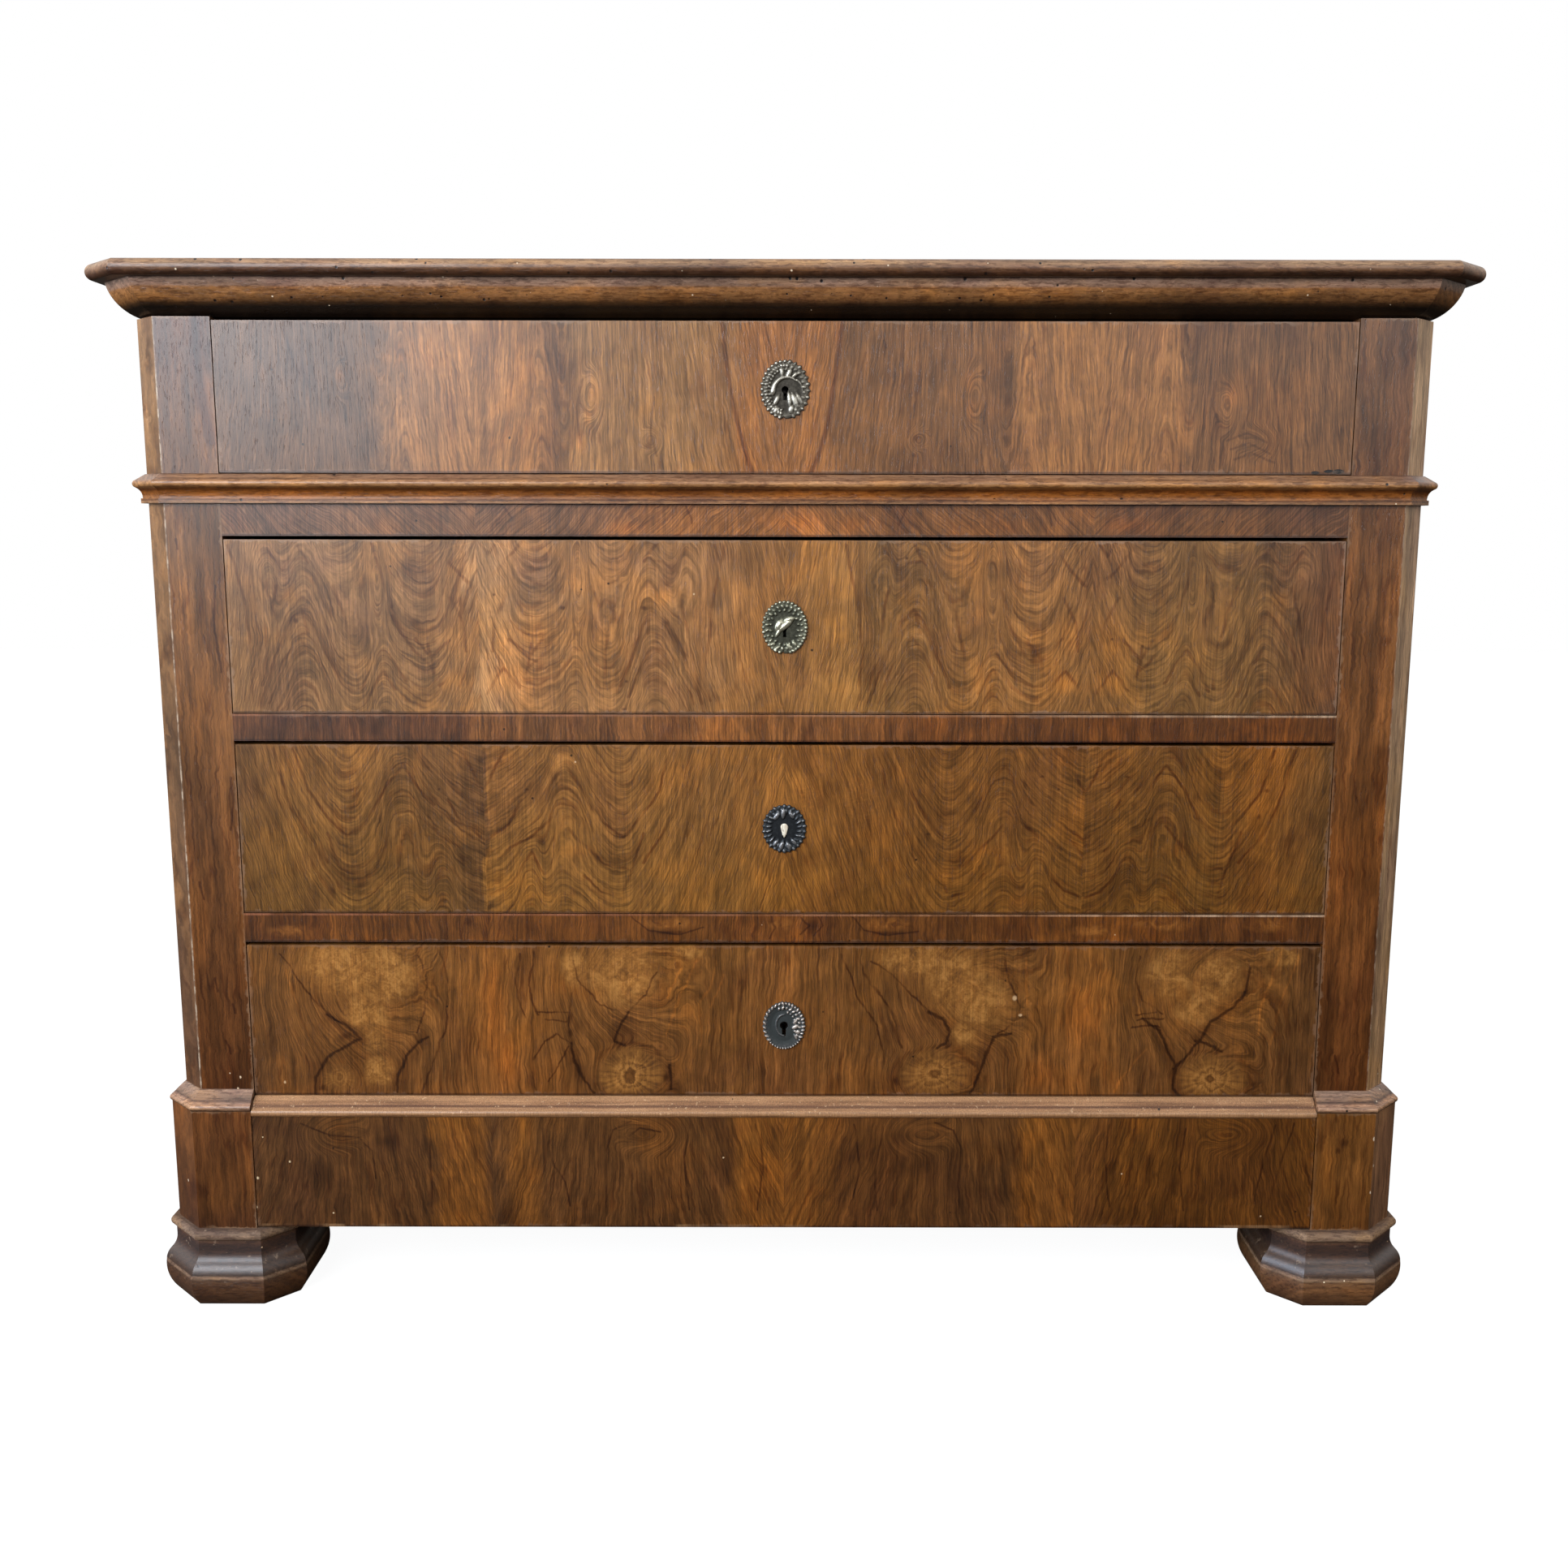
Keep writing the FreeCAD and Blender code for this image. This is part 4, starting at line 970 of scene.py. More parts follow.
# %% Drawer 3
def front_3():
    wood = Finish("veneer_drawer_3")
    place = wood.place
    x, z, fold, sheet = folded(wood)
    off = wander(wood, 0.015, 20.0)
    across = fold + off["X"] * 0.6
    grain = wood.group(grain_group, {"Vector": place})
    upper = drawn(wood, across, [
        (0, 420), (60, 230), (90, 130), (110, 72), (140, 12), (154, 0), (176, 22), (207, 74), (228, 44),
        (255, 14), (283, -4)])
    lower = drawn(wood, across, [
        (0, 420), (60, 230), (90, 120), (110, 66), (138, 14), (150, 0), (170, 2), (194, 24), (210, 34), (226, 22),
        (241, 42), (258, 12), (283, -4)])
    line = wood.only(wood.node("Mix", {0: wood.fade(z, 0.425, 0.49), 2: lower, 3: upper}, data_type="FLOAT"))
    height = z + off["Z"] * 0.7
    field = height - line
    edge, leaf, seam = (93, 61, 31), (108, 71, 35), (92, 60, 34)
    light, middle, right = (118, 77, 38), (126, 79, 34), (107, 66, 28)
    wood.colour = ground(wood, x, z, 0.39, 0.55, [
        (-515, edge), (-470, leaf), (-400, leaf), (-284, seam), (-281, light), (-60, light), (10, middle),
        (80, right), (283, right), (400, (98, 62, 26)), (450, (116, 70, 28)), (515, edge)], (0.86, 0.86, 0.7))
    figured(wood, fold, z, sheet, field, 50.0, 66.0, 0.045, 1.0, 0.16)
    point = wood.join(fold + off["X"] * 0.7, 0.0, height)
    peaks = wood.veins(point, [
        [(106, 548), (118, 510), (134, 484), (152, 464), (170, 478), (190, 510), (207, 534), (222, 512), (236, 496)],
        [(133, 468), (142, 444), (154, 412)], [(240, 450), (252, 430), (266, 414), (280, 408)],
        [(230, 430), (240, 450)], [(190, 428), (176, 412), (160, 408)],
        [(150, 434), (170, 437), (196, 464), (206, 476)], [(248, 500), (262, 476), (283, 462)],
        [(220, 484), (240, 466), (262, 452)], [(86, 548), (100, 496), (118, 462), (134, 440)],
        [(262, 548), (276, 520), (283, 510)]], 2.2)
    patchy = wood.fade(wood.noise(place, 30.0, 2.0), 0.35, 0.65, 0.15, 0.85)
    wood.tint(peaks * patchy, bark)
    spiky = wood.veins(place, [
        [(414, 490), (420, 482)], [(425, 494), (419, 472), (411, 456)], [(432, 440), (424, 424), (412, 406)],
        [(416, 428), (430, 422), (440, 424)], [(418, 416), (428, 408)], [(-137, 466), (-141, 448), (-150, 424)],
        [(138, 466), (142, 448), (152, 430)], [(-404, 514), (-398, 506)],
        [(-70, 550), (-69, 500), (-62, 472), (-56, 466)], [(-140, 500), (-134, 492)], [(448, 488), (452, 482)],
        [(-412, 460), (-420, 440), (-414, 424)]], 2.0)
    wood.tint(spiky, (0.34, 0.26, 0.24), 0.8)
    dots = wood.ovals(place, [
        (-242, 510, 3, 2), (242, 523, 4, 2), (258, 511, 2.4, 1.8), (322, 523, 4, 2), (-325, 510, 2, 2),
        (448, 485, 3, 4), (454, 510, 4, 3), (-230, 460, 6, 6), (136, 468, 4, 2)], 0.2)
    wood.tint(dots, (0.36, 0.28, 0.26), 0.8)
    golden = wood.ovals(point, [(262, 540, 18, 20), (196, 452, 26, 10), (228, 404, 30, 10)], 0.0)
    wood.tint(golden, (1.3, 1.16, 0.9), 0.5)
    near_eye = wood.ovals(place, [(72, 500, 30, 34), (20, 500, 30, 40)], 0.1)
    pale = wood.fade(wood.noise(wood.scaled(place, 260.0, 1.0, 420.0), 1.0, 2.0), 0.52, 0.66)
    wood.tint(pale * near_eye, (1.3, 1.26, 1.2))
    scratch = wood.veins(place, [[(-214, 490), (-211, 498), (-200, 498), (-190, 490)]], 1.2)
    wood.paint(scratch * 0.6, (190, 156, 120))
    return polish_front(wood, "drawer_3_front", grain, 0.3, (140, 108, 84), tint=(1.18, 1.19, 1.06))


dress(front_3(), "drawer_3_front")
print("drawer 3 veneered")

# %% [markdown]
# ## Drawer 4
#
# The bottom drawer has the showpiece: walnut burl. Golden patches of curled grain run down
# into round knots, bounded by dark bark lines. The growth field is swollen under each patch
# and knot, so that the lines flow round them and close to rings on the knots.

# %% A knot
def knot(wood, point, x, z, wide, high, share):
    """A golden knot: wavering rings near the core, rays further out, a dark rim on one side."""
    centre = on_front(x, z)
    made = wood.oval(point, centre, wide, high, 0.72)
    ray = wood.vector("NORMALIZE", wood.vector("SUBTRACT", point, centre))
    rays = wood.noise(ray, 9.0, 3.0, 0.6)
    curl = wood.noise(wood.place, 120.0, 3.0, 0.6)
    turn = made["Reach"] * 26.0 + curl * 16.0
    rings = wood.math("SINE", turn) * 0.5 + 0.5
    inner = wood.fall(made["Reach"], 0.3, 0.75)
    tone = rings * inner * 0.22 + (rays * 0.5 + curl * 0.35)
    grown = wood.ramp(tone, [(0.34, (84, 50, 22)), (0.5, (124, 78, 34)), (0.74, (160, 106, 52))])
    wood.paint(made["Mask"] * share, grown)
    core = wood.fall(made["Reach"] + curl * 0.16, 0.16, 0.3)
    wood.tint(core, (0.34, 0.26, 0.22), 0.8 * share)
    rim = wood.fall(wood.size(made["Reach"] - 1.04), 0.0, 0.12)
    wood.tint(rim * wood.fade(curl, 0.4, 0.6), bark, 0.6 * share)


# %% Drawer 4
def front_4():
    wood = Finish("veneer_drawer_4")
    place = wood.place
    x, z, fold, sheet = folded(wood)
    off = wander(wood, 0.016, 30.0)
    slow = wander(wood, 0.03, 7.0)
    grain = wood.group(grain_group, {"Vector": place})
    point = wood.join(x + off["X"] * 0.8, 0.0,
                      z + off["Z"] * 0.8)
    edge, plain, flame = (90, 55, 25), (104, 63, 26), (122, 72, 28)
    wood.colour = ground(wood, x, z, 0.21, 0.36, [
        (-515, edge), (-470, plain), (-330, plain), (-290, flame), (-200, plain), (-40, plain), (0, (118, 71, 31)),
        (40, plain), (230, plain), (283, flame), (330, plain), (460, plain), (515, edge)], (0.86, 0.84, 0.94))
    wood.tint(wood.ovals(place, [(-150, 318, 70, 66)], 0.3), (1.16, 1.17, 1.2))
    rings = wood.ovals(point, [(-148, 228, 50, 44), (146, 228, 54, 40), (417, 222, 54, 42)], 0.0)
    hill = wood.ovals(point, [
        (-415, 320, 96, 96), (-158, 322, 92, 90), (165, 320, 96, 92), (402, 322, 92, 92)], 0.0)
    field = (x + slow["X"]) * 2.5
    field = field + (hill * 0.2 + rings * 0.2)
    figured(wood, x, z, 0.0, field, 46.0, 54.0, 0.05, 0.9, 0.26)
    far = wood.ovals(point, [
        (-430, 330, 64, 50), (-382, 322, 52, 56), (-400, 280, 38, 42), (-400, 232, 44, 30), (-160, 326, 58, 50),
        (-206, 330, 34, 40), (-170, 250, 30, 30), (120, 346, 56, 32), (166, 318, 56, 54), (188, 292, 50, 44),
        (172, 262, 28, 28), (374, 326, 48, 44), (418, 322, 44, 48), (396, 290, 38, 34), (478, 346, 36, 22)], 0.0)
    wood.tint(far, (1.24, 1.16, 1.0), 0.6)
    burls = wood.ovals(point, [
        (-424, 336, 48, 38), (-384, 330, 40, 44), (-402, 290, 26, 28), (-396, 264, 14, 18), (-155, 330, 46, 42),
        (-200, 336, 20, 24), (124, 346, 44, 22), (165, 322, 44, 42), (190, 302, 38, 34), (172, 270, 16, 18),
        (372, 330, 34, 32), (418, 326, 32, 36), (396, 294, 26, 22), (478, 348, 22, 12), (-92, 352, 20, 9),
        (-392, 232, 22, 20)], 0.35)
    curl = wood.noise(place, 46.0, 5.0, 0.62, 1.2)
    fine = wood.noise(place, 190.0, 3.0, 0.6, 1.6)
    tone = curl * 0.65 + fine * 0.35
    curled = wood.ramp(tone, [(0.36, (92, 57, 26)), (0.48, (136, 86, 38)), (0.6, (174, 117, 58))])
    red = wood.fall(wood.size(wood.noise(place, 70.0, 2.0, 0.5, 1.4) - 0.5), 0.0, 0.016)
    heart = wood.ovals(point, [
        (-400, 320, 34, 40), (-150, 330, 30, 28), (176, 310, 36, 26), (400, 318, 40, 28)], 0.0)
    curled = wood.tinted(curled, red * (heart * 0.9), (0.62, 0.42, 0.34))
    curled = wood.shaded(curled, x, -0.2, 0.45, 1.0, 0.88)
    wood.paint(burls * 0.7, curled)
    for spot in [(-148, 230, 35, 30, 0.95), (146, 230, 38, 27, 0.7), (416, 225, 38, 28, 0.85),
                 (-433, 226, 18, 16, 0.45)]:
        knot(wood, point, *spot)
    flame = wood.ovals(point, [
        (-280, 290, 18, 84), (-268, 240, 16, 44), (288, 285, 26, 44), (250, 230, 20, 30)], 0.0)
    wood.tint(flame, (1.4, 1.18, 0.9), 0.7)
    shade = wood.veins(point, [
        [(-438, 284), (-424, 276), (-410, 264)], [(-452, 236), (-459, 214)],
        [(-352, 262), (-368, 240), (-374, 214)], [(-204, 250), (-194, 222)], [(-156, 282), (-162, 266)],
        [(140, 290), (156, 278), (160, 262)], [(196, 262), (186, 226)], [(440, 308), (412, 284), (396, 256)],
        [(364, 274), (378, 240), (382, 212)], [(-112, 236), (-108, 214)], [(110, 236), (104, 214)],
        [(454, 236), (458, 216)]], 11.0)
    wood.tint(shade, (0.5, 0.42, 0.38), 0.5)
    thick = wood.veins(point, [
        [(-440, 288), (-424, 279), (-410, 264), (-422, 257)],
        [(-343, 268), (-354, 262), (-366, 248), (-372, 230), (-376, 210)],
        [(-205, 262), (-201, 240), (-194, 222), (-184, 210)],
        [(-150, 292), (-160, 278), (-164, 264), (-153, 259)],
        [(140, 293), (152, 287), (160, 272), (158, 260), (150, 256)],
        [(218, 273), (202, 269), (194, 250), (188, 228), (180, 212)],
        [(448, 336), (444, 310), (430, 296), (412, 284), (402, 264), (386, 246), (378, 236)],
        [(346, 286), (364, 275), (374, 250), (380, 236), (378, 216), (388, 206)],
        [(-424, 257), (-442, 246), (-456, 226), (-456, 209)], [(-112, 240), (-110, 214)],
        [(398, 264), (424, 255)]], 2.4)
    wood.tint(thick, (0.22, 0.17, 0.14), 0.85)
    patchy = wood.fade(wood.noise(place, 40.0, 2.0), 0.35, 0.6, 0.3, 0.9)
    thin = wood.veins(point, [
        [(-122, 332), (-132, 308), (-152, 291), (-176, 300), (-194, 318), (-202, 344)],
        [(-205, 310), (-208, 285), (-205, 262)], [(-484, 350), (-462, 316), (-444, 296), (-430, 282)],
        [(-350, 350), (-344, 320), (-346, 296), (-354, 272)], [(84, 344), (104, 330), (124, 308), (142, 292)],
        [(212, 350), (217, 322), (228, 300), (222, 284), (206, 272)],
        [(-244, 242), (-232, 262), (-220, 271), (-206, 262)], [(-238, 293), (-208, 291)],
        [(-232, 285), (-210, 282)], [(340, 285), (368, 287)], [(336, 279), (364, 279)], [(340, 291), (360, 292)],
        [(70, 354), (84, 322), (104, 292), (114, 258)], [(56, 350), (72, 310), (90, 280), (98, 240)],
        [(-330, 354), (-322, 318), (-326, 280), (-338, 246), (-352, 212)],
        [(-240, 352), (-246, 320), (-238, 290)], [(-252, 350), (-258, 320), (-250, 286)],
        [(-228, 222), (-214, 244), (-208, 258)], [(-246, 230), (-240, 214)],
        [(340, 350), (338, 326), (346, 304), (366, 292)]], 1.5)
    wood.tint(thin * patchy, (0.36, 0.27, 0.22))
    marks = wood.ovals(point, [
        (-424, 266, 10, 6), (-116, 226, 5, 8), (108, 222, 4, 7), (457, 222, 4, 7), (-206, 286, 5, 8),
        (-206, 272, 4, 6), (-449, 216, 6, 6)], 0.1)
    wood.tint(marks, (0.3, 0.24, 0.2), 0.8)
    streak = wood.veins(point, [
        [(-480, 332), (-470, 300), (-458, 262)], [(-86, 344), (-94, 320), (-108, 290), (-114, 270)],
        [(-66, 344), (-72, 318), (-80, 300), (-82, 258)], [(-58, 330), (-70, 296)], [(-100, 336), (-112, 308)],
        [(232, 346), (236, 300)], [(352, 256), (330, 226), (322, 212)], [(492, 350), (478, 300), (470, 262)],
        [(476, 352), (464, 310), (458, 270)]], 1.8)
    wood.tint(streak, (1.5, 1.38, 1.16), 0.8)
    chips = wood.ovals(place, [(222, 307, 3, 3.5), (228, 290, 2.5, 2), (-485, 221, 1.6, 2.2)], 0.4)
    wood.paint(chips * 0.6, (214, 172, 128))
    return polish_front(wood, "drawer_4_front", grain, 0.3, (132, 100, 76), 0.18, (1.12, 1.19, 1.19))


dress(front_4(), "drawer_4_front")
print("drawer 4 veneered")

# %% [markdown]
# ## The plinth drawer and the rails
#
# The plinth's front is darker and plainer. It sits low, where feet, mops and the damp of
# floors reach it, so it is scratched along its lower edge. Its moulding is rubbed light. The
# rails between the drawers are strips of the same veneers with the grain upright. Their
# upper arris is rubbed pale by the drawers that run over it.

# %% Plinth drawer
def front_plinth():
    wood = Finish("veneer_plinth")
    place = wood.place
    x, z, fold, sheet = folded(wood)
    off = wander(wood, 0.016, 18.0)
    grain = wood.group(grain_group, {"Vector": place})
    bend = (z - 0.14) * wood.fade(fold, 0.0, 0.28, -0.4, 0.3)
    hill = wood.ovals(wood.join(fold, 0.0, z), [(126, 174, 44, 26)], 0.0)
    field = (fold + (bend + off["X"])) * 2.6
    field = field + hill * 0.12
    edge, dark, flame, right = (76, 47, 25), (84, 51, 24), (110, 65, 24), (92, 53, 17)
    wood.colour = ground(wood, x, z, 0.08, 0.19, [
        (-515, edge), (-400, dark), (-345, dark), (-335, flame), (-300, flame), (-280, edge), (-255, flame),
        (-236, dark), (-60, (88, 53, 24)), (-40, flame), (20, flame), (60, (88, 51, 21)), (220, dark),
        (236, flame), (300, (97, 57, 22)), (320, right), (515, right)], (0.86, 0.84, 0.88))
    figured(wood, fold, z, sheet, field, 44.0, 54.0, 0.05, 1.0, 0.26)
    point = wood.join(x + off["X"] * 0.5, 0.0, z)
    dark = wood.veins(point, [
        [(-174, 92), (-172, 160), (-166, 178), (-148, 187)], [(172, 92), (171, 162), (164, 178), (146, 186)],
        [(-468, 184), (-440, 172), (-412, 170), (-398, 156), (-397, 128)],
        [(-226, 156), (-222, 140), (-212, 124), (-208, 100)], [(-342, 186), (-344, 92)],
        [(-90, 184), (-96, 150), (-92, 96)], [(68, 184), (74, 140), (66, 92)], [(96, 182), (88, 140), (92, 96)],
        [(316, 184), (312, 150), (318, 100)], [(390, 180), (384, 140), (390, 96)],
        [(-150, 172), (-140, 180), (-120, 176)], [(494, 186), (484, 150), (472, 100)],
        [(476, 184), (466, 150), (460, 104)], [(-28, 184), (-20, 140), (-26, 96)]], 1.5)
    patchy = wood.fade(wood.noise(place, 40.0, 2.0), 0.35, 0.6, 0.3, 0.9)
    wood.tint(dark * patchy, (0.34, 0.27, 0.24))
    blots = wood.ovals(point, [
        (-378, 169, 6, 6), (-452, 130, 16, 30), (-380, 166, 24, 10), (120, 172, 26, 12), (318, 137, 5, 7),
        (360, 133, 4, 6), (240, 140, 4, 6), (-345, 102, 6, 6)], 0.0)
    wood.tint(blots, (0.45, 0.42, 0.42), 0.6)
    pale = wood.veins(place, [
        [(-336, 101), (-316, 99)], [(-303, 96), (-288, 81)], [(-338, 80), (-322, 82)], [(-46, 110), (-26, 113)],
        [(110, 176), (120, 186)], [(-262, 86), (-250, 84)], [(112, 178), (106, 168)],
        [(452, 168), (464, 162), (476, 168)], [(-372, 164), (-382, 162)], [(-252, 84), (-238, 90)]], 0.9)
    broken = wood.fade(wood.noise(place, 160.0, 2.0), 0.4, 0.6)
    wood.paint(pale * broken, (196, 160, 118))
    specks = wood.ovals(place, [
        (-512, 128, 1.6, 2), (-515, 98, 1.6, 2), (-480, 145, 1.4, 1.6), (-440, 92, 1.2, 1.2),
        (-505, 170, 1, 1)], 0.4)
    wood.paint(specks, (196, 170, 142))
    low = wood.fall(z, 0.0782, 0.0815, 0.9)
    wood.paint(low * wood.fade(wood.noise(place, 24.0, 3.0), 0.5, 0.68), (170, 130, 96))
    strip = wood.fade(z, 0.1905, 0.1915)
    x_axis = wood.join(x * 9.0, 0.0, z * 420.0)
    rubbed = wood.ramp(wood.noise(x_axis, 1.0, 4.0, 0.65), [
        (0.3, (94, 60, 38)), (0.5, (134, 93, 65)), (0.7, (170, 126, 94))])
    ridge = wood.larger(wood.fall(wood.size(z - 0.1965), 0.0, 0.004), wood.fade(z, 0.2035, 0.2055))
    rubbed = wood.mix(ridge * 0.5, rubbed, srgb(168, 125, 92))
    groove = wood.fall(wood.size(z - 0.2005), 0.0004, 0.0014, 0.8)
    rubbed = wood.mix(groove, rubbed, srgb(84, 50, 32))
    fleck = wood.fade(wood.noise(place, 300.0, 2.0), 0.64, 0.72, 0.0, 0.4)
    rubbed = wood.mix(fleck, rubbed, srgb(206, 170, 140))
    wood.paint(strip, rubbed)
    return polish_front(wood, "plinth_drawer_front", grain, 0.34, (124, 92, 68), 0.26, (1.1, 1.11, 0.95))


dress(front_plinth(), "plinth_drawer_front")
print("plinth drawer veneered")

# %% The rubbed arris of a rail
def pale_arris(wood, height, strength):
    """A thin rubbed line along the rail's upper arris, paler towards the right."""
    x, y, z = wood.split(wood.place)
    near = wood.fall(wood.size(z - height), 0.0009, 0.0019)
    ragged = wood.fade(wood.noise(wood.scaled(wood.place, 45.0, 1.0, 1.0), 1.0, 3.0), 0.35, 0.65, 0.35, 1.0)
    rub = near * ragged * strength
    tone = wood.ramp(wood.fade(x, -0.2, 0.5), [(0.0, (150, 100, 76)), (0.7, (176, 138, 110)), (1.0, (214, 190, 168))])
    wood.paint(rub, tone)


print("arris ready")

# %% Waist rail
def waist_rail():
    wood = Finish("veneer_waist_rail")
    place = wood.place
    x, z, fold, sheet = folded(wood)
    off = wander(wood, 0.02, 16.0)
    grain = wood.group(grain_group, {"Vector": place})
    bend = wood.noise(wood.join(x * 11.0, 0.0, 0.0), 1.0, 2.0) * ((z - 0.745) * 2.0)
    field = (fold + (bend + off["X"])) * 2.4
    cool, knotty, warm, brown = (104, 72, 48), (86, 61, 46), (130, 85, 46), (109, 71, 38)
    wood.colour = ground(wood, x, z, 0.745, 0.775, [
        (-515, cool), (-460, knotty), (-400, cool), (-200, cool), (-110, warm), (40, warm), (110, brown),
        (400, brown), (470, (90, 60, 38)), (515, (98, 65, 42))], (1.06, 1.04, 0.94))
    figured(wood, fold, z, sheet, field, 42.0, 52.0, 0.05, 1.2, 0.2)
    point = wood.join(x + off["X"], 0.0, z + off["Z"] * 0.4)
    warm = wood.ovals(point, [
        (-150, 752, 26, 10), (60, 756, 22, 12), (200, 755, 20, 10), (315, 756, 34, 10), (10, 760, 50, 14)], 0.0)
    wood.tint(warm, (1.3, 1.14, 0.84))
    marks = wood.veins(point, [
        [(-260, 775), (-250, 762)], [(-90, 774), (-84, 758)], [(110, 774), (104, 756)],
        [(236, 774), (244, 756)]], 1.6)
    wood.tint(marks, bark, 0.7)
    chip = wood.veins(place, [[(-501, 753), (-498, 747)], [(-497, 749), (-492, 747)]], 0.8)
    wood.paint(chip, (214, 170, 124))
    # Painted shade along the top of the rail, under the waist moulding.
    under = wood.fade(z, 0.7722, 0.7746, 0.0, 0.75)
    wood.tint(under, (0.35, 0.25, 0.18))
    return polish_front(wood, "waist_rail", grain, 0.33, (128, 100, 80), 0.22, (1.06, 0.97, 0.86))


dress(waist_rail(), "waist_rail")
print("waist rail veneered")

# %% The two drawer rails are one node, so one material carries both
def drawer_rails():
    wood = Finish("veneer_drawer_rails")
    place = wood.place
    x, z, fold, sheet = folded(wood)
    off = wander(wood, 0.02, 16.0)
    grain = wood.group(grain_group, {"Vector": place})
    field = (fold + off["X"]) * 2.4
    dark, light, right = (79, 49, 28), (118, 76, 39), (91, 53, 20)
    high = ground(wood, x, z, 0.555, 0.582, [
        (-515, dark), (-300, dark), (-283, light), (-230, (99, 64, 34)), (-100, light), (20, light),
        (120, (104, 63, 29)), (283, right), (515, right)])
    plain, middle, warm, edge = (92, 55, 23), (116, 68, 28), (101, 59, 22), (80, 46, 20)
    low = ground(wood, x, z, 0.362, 0.39, [
        (-515, edge), (-440, warm), (-350, plain), (-240, warm), (-60, plain), (0, middle), (50, plain), (130, plain),
        (240, warm), (300, warm), (515, edge)])
    low = wood.tinted(low, 1.0, (1.25, 1.34, 1.25))
    wood.colour = wood.mix(wood.fade(z, 0.45, 0.46), low, high)
    figured(wood, fold, z, sheet, field, 42.0, 52.0, 0.05, 1.2, 0.2)
    point = wood.join(x + off["X"], 0.0, z + off["Z"] * 0.4)
    burl = wood.ovals(point, [
        (-110, 381, 36, 9), (98, 380, 32, 9), (462, 379, 32, 9), (-470, 372, 30, 7), (-2, 380, 14, 10),
        (292, 374, 28, 8), (360, 380, 40, 8)], 0.2)
    curl = wood.noise(place, 80.0, 4.0, 0.6, 1.4)
    curled = wood.ramp(curl, [(0.34, (96, 56, 22)), (0.5, (136, 86, 36)), (0.66, (164, 110, 52))])
    wood.paint(burl * 0.75, curled)
    eye = wood.ovals(point, [(24, 378, 13, 11), (-302, 382, 6, 7), (-110, 372, 20, 3), (98, 371, 20, 3)], 0.1)
    wood.tint(eye, (0.36, 0.28, 0.24), 0.75)
    swirl = wood.veins(point, [
        [(14, 386), (22, 378), (16, 370)], [(30, 388), (36, 378), (28, 368)],
        [(-146, 388), (-130, 374), (-100, 370), (-76, 376)], [(66, 386), (76, 374), (100, 369), (128, 374)],
        [(-12, 388), (-8, 376), (-14, 366)]], 1.4)
    wood.tint(swirl, (0.34, 0.26, 0.22), 0.75)
    pale_arris(wood, 0.5806, 0.6)
    pale_arris(wood, 0.3892, 0.85)
    # Painted shade along each rail's lower edge, over the gap to the drawer below, weaker on the lower rail.
    under = wood.larger(wood.fall(z, 0.5565, 0.558, 0.8), wood.fall(z, 0.3632, 0.3646, 0.7))
    upper_only = wood.larger(wood.fade(z, 0.5, 0.51), wood.fall(z, 0.4, 0.41))
    wood.tint(under * (upper_only * wood.fade(z, 0.37, 0.55, 0.5, 1.0)), (0.4, 0.3, 0.26))
    return polish_front(wood, "drawer_rails", grain, 0.34, (118, 92, 74), 0.24, (1.06, 0.96, 0.8))


dress(drawer_rails(), "drawer_rails")
print("drawer rails veneered")

# %% [markdown]
# ## Mouldings
#
# Top, cornice, waist and plinth mouldings are cut from the solid, with the grain running the
# long way. Their beads are rubbed light by dusters and elbows, and fine grime is speckled over
# them. So each has colours by height. These also paint light and shade: the cornice's underside
# is painted near black and the board's lower edge dark, as shade; the cornice's upper round is
# painted pale grey as a reflection, and the board's top arris light, partly worn and partly as a
# highlight.

# %% Moulded pieces
def by_height(wood, height, lift, levels):
    """Tones by height, as (millimetres, tone) pairs. lift is what wavering adds to the height on average."""
    lowest, span = levels[0][0], levels[-1][0] - levels[0][0]
    share = (height - (lowest / 1000.0 + lift)) / (span / 1000.0)
    return wood.ramp(share, [((level - lowest) / span, tone) for level, tone in levels])


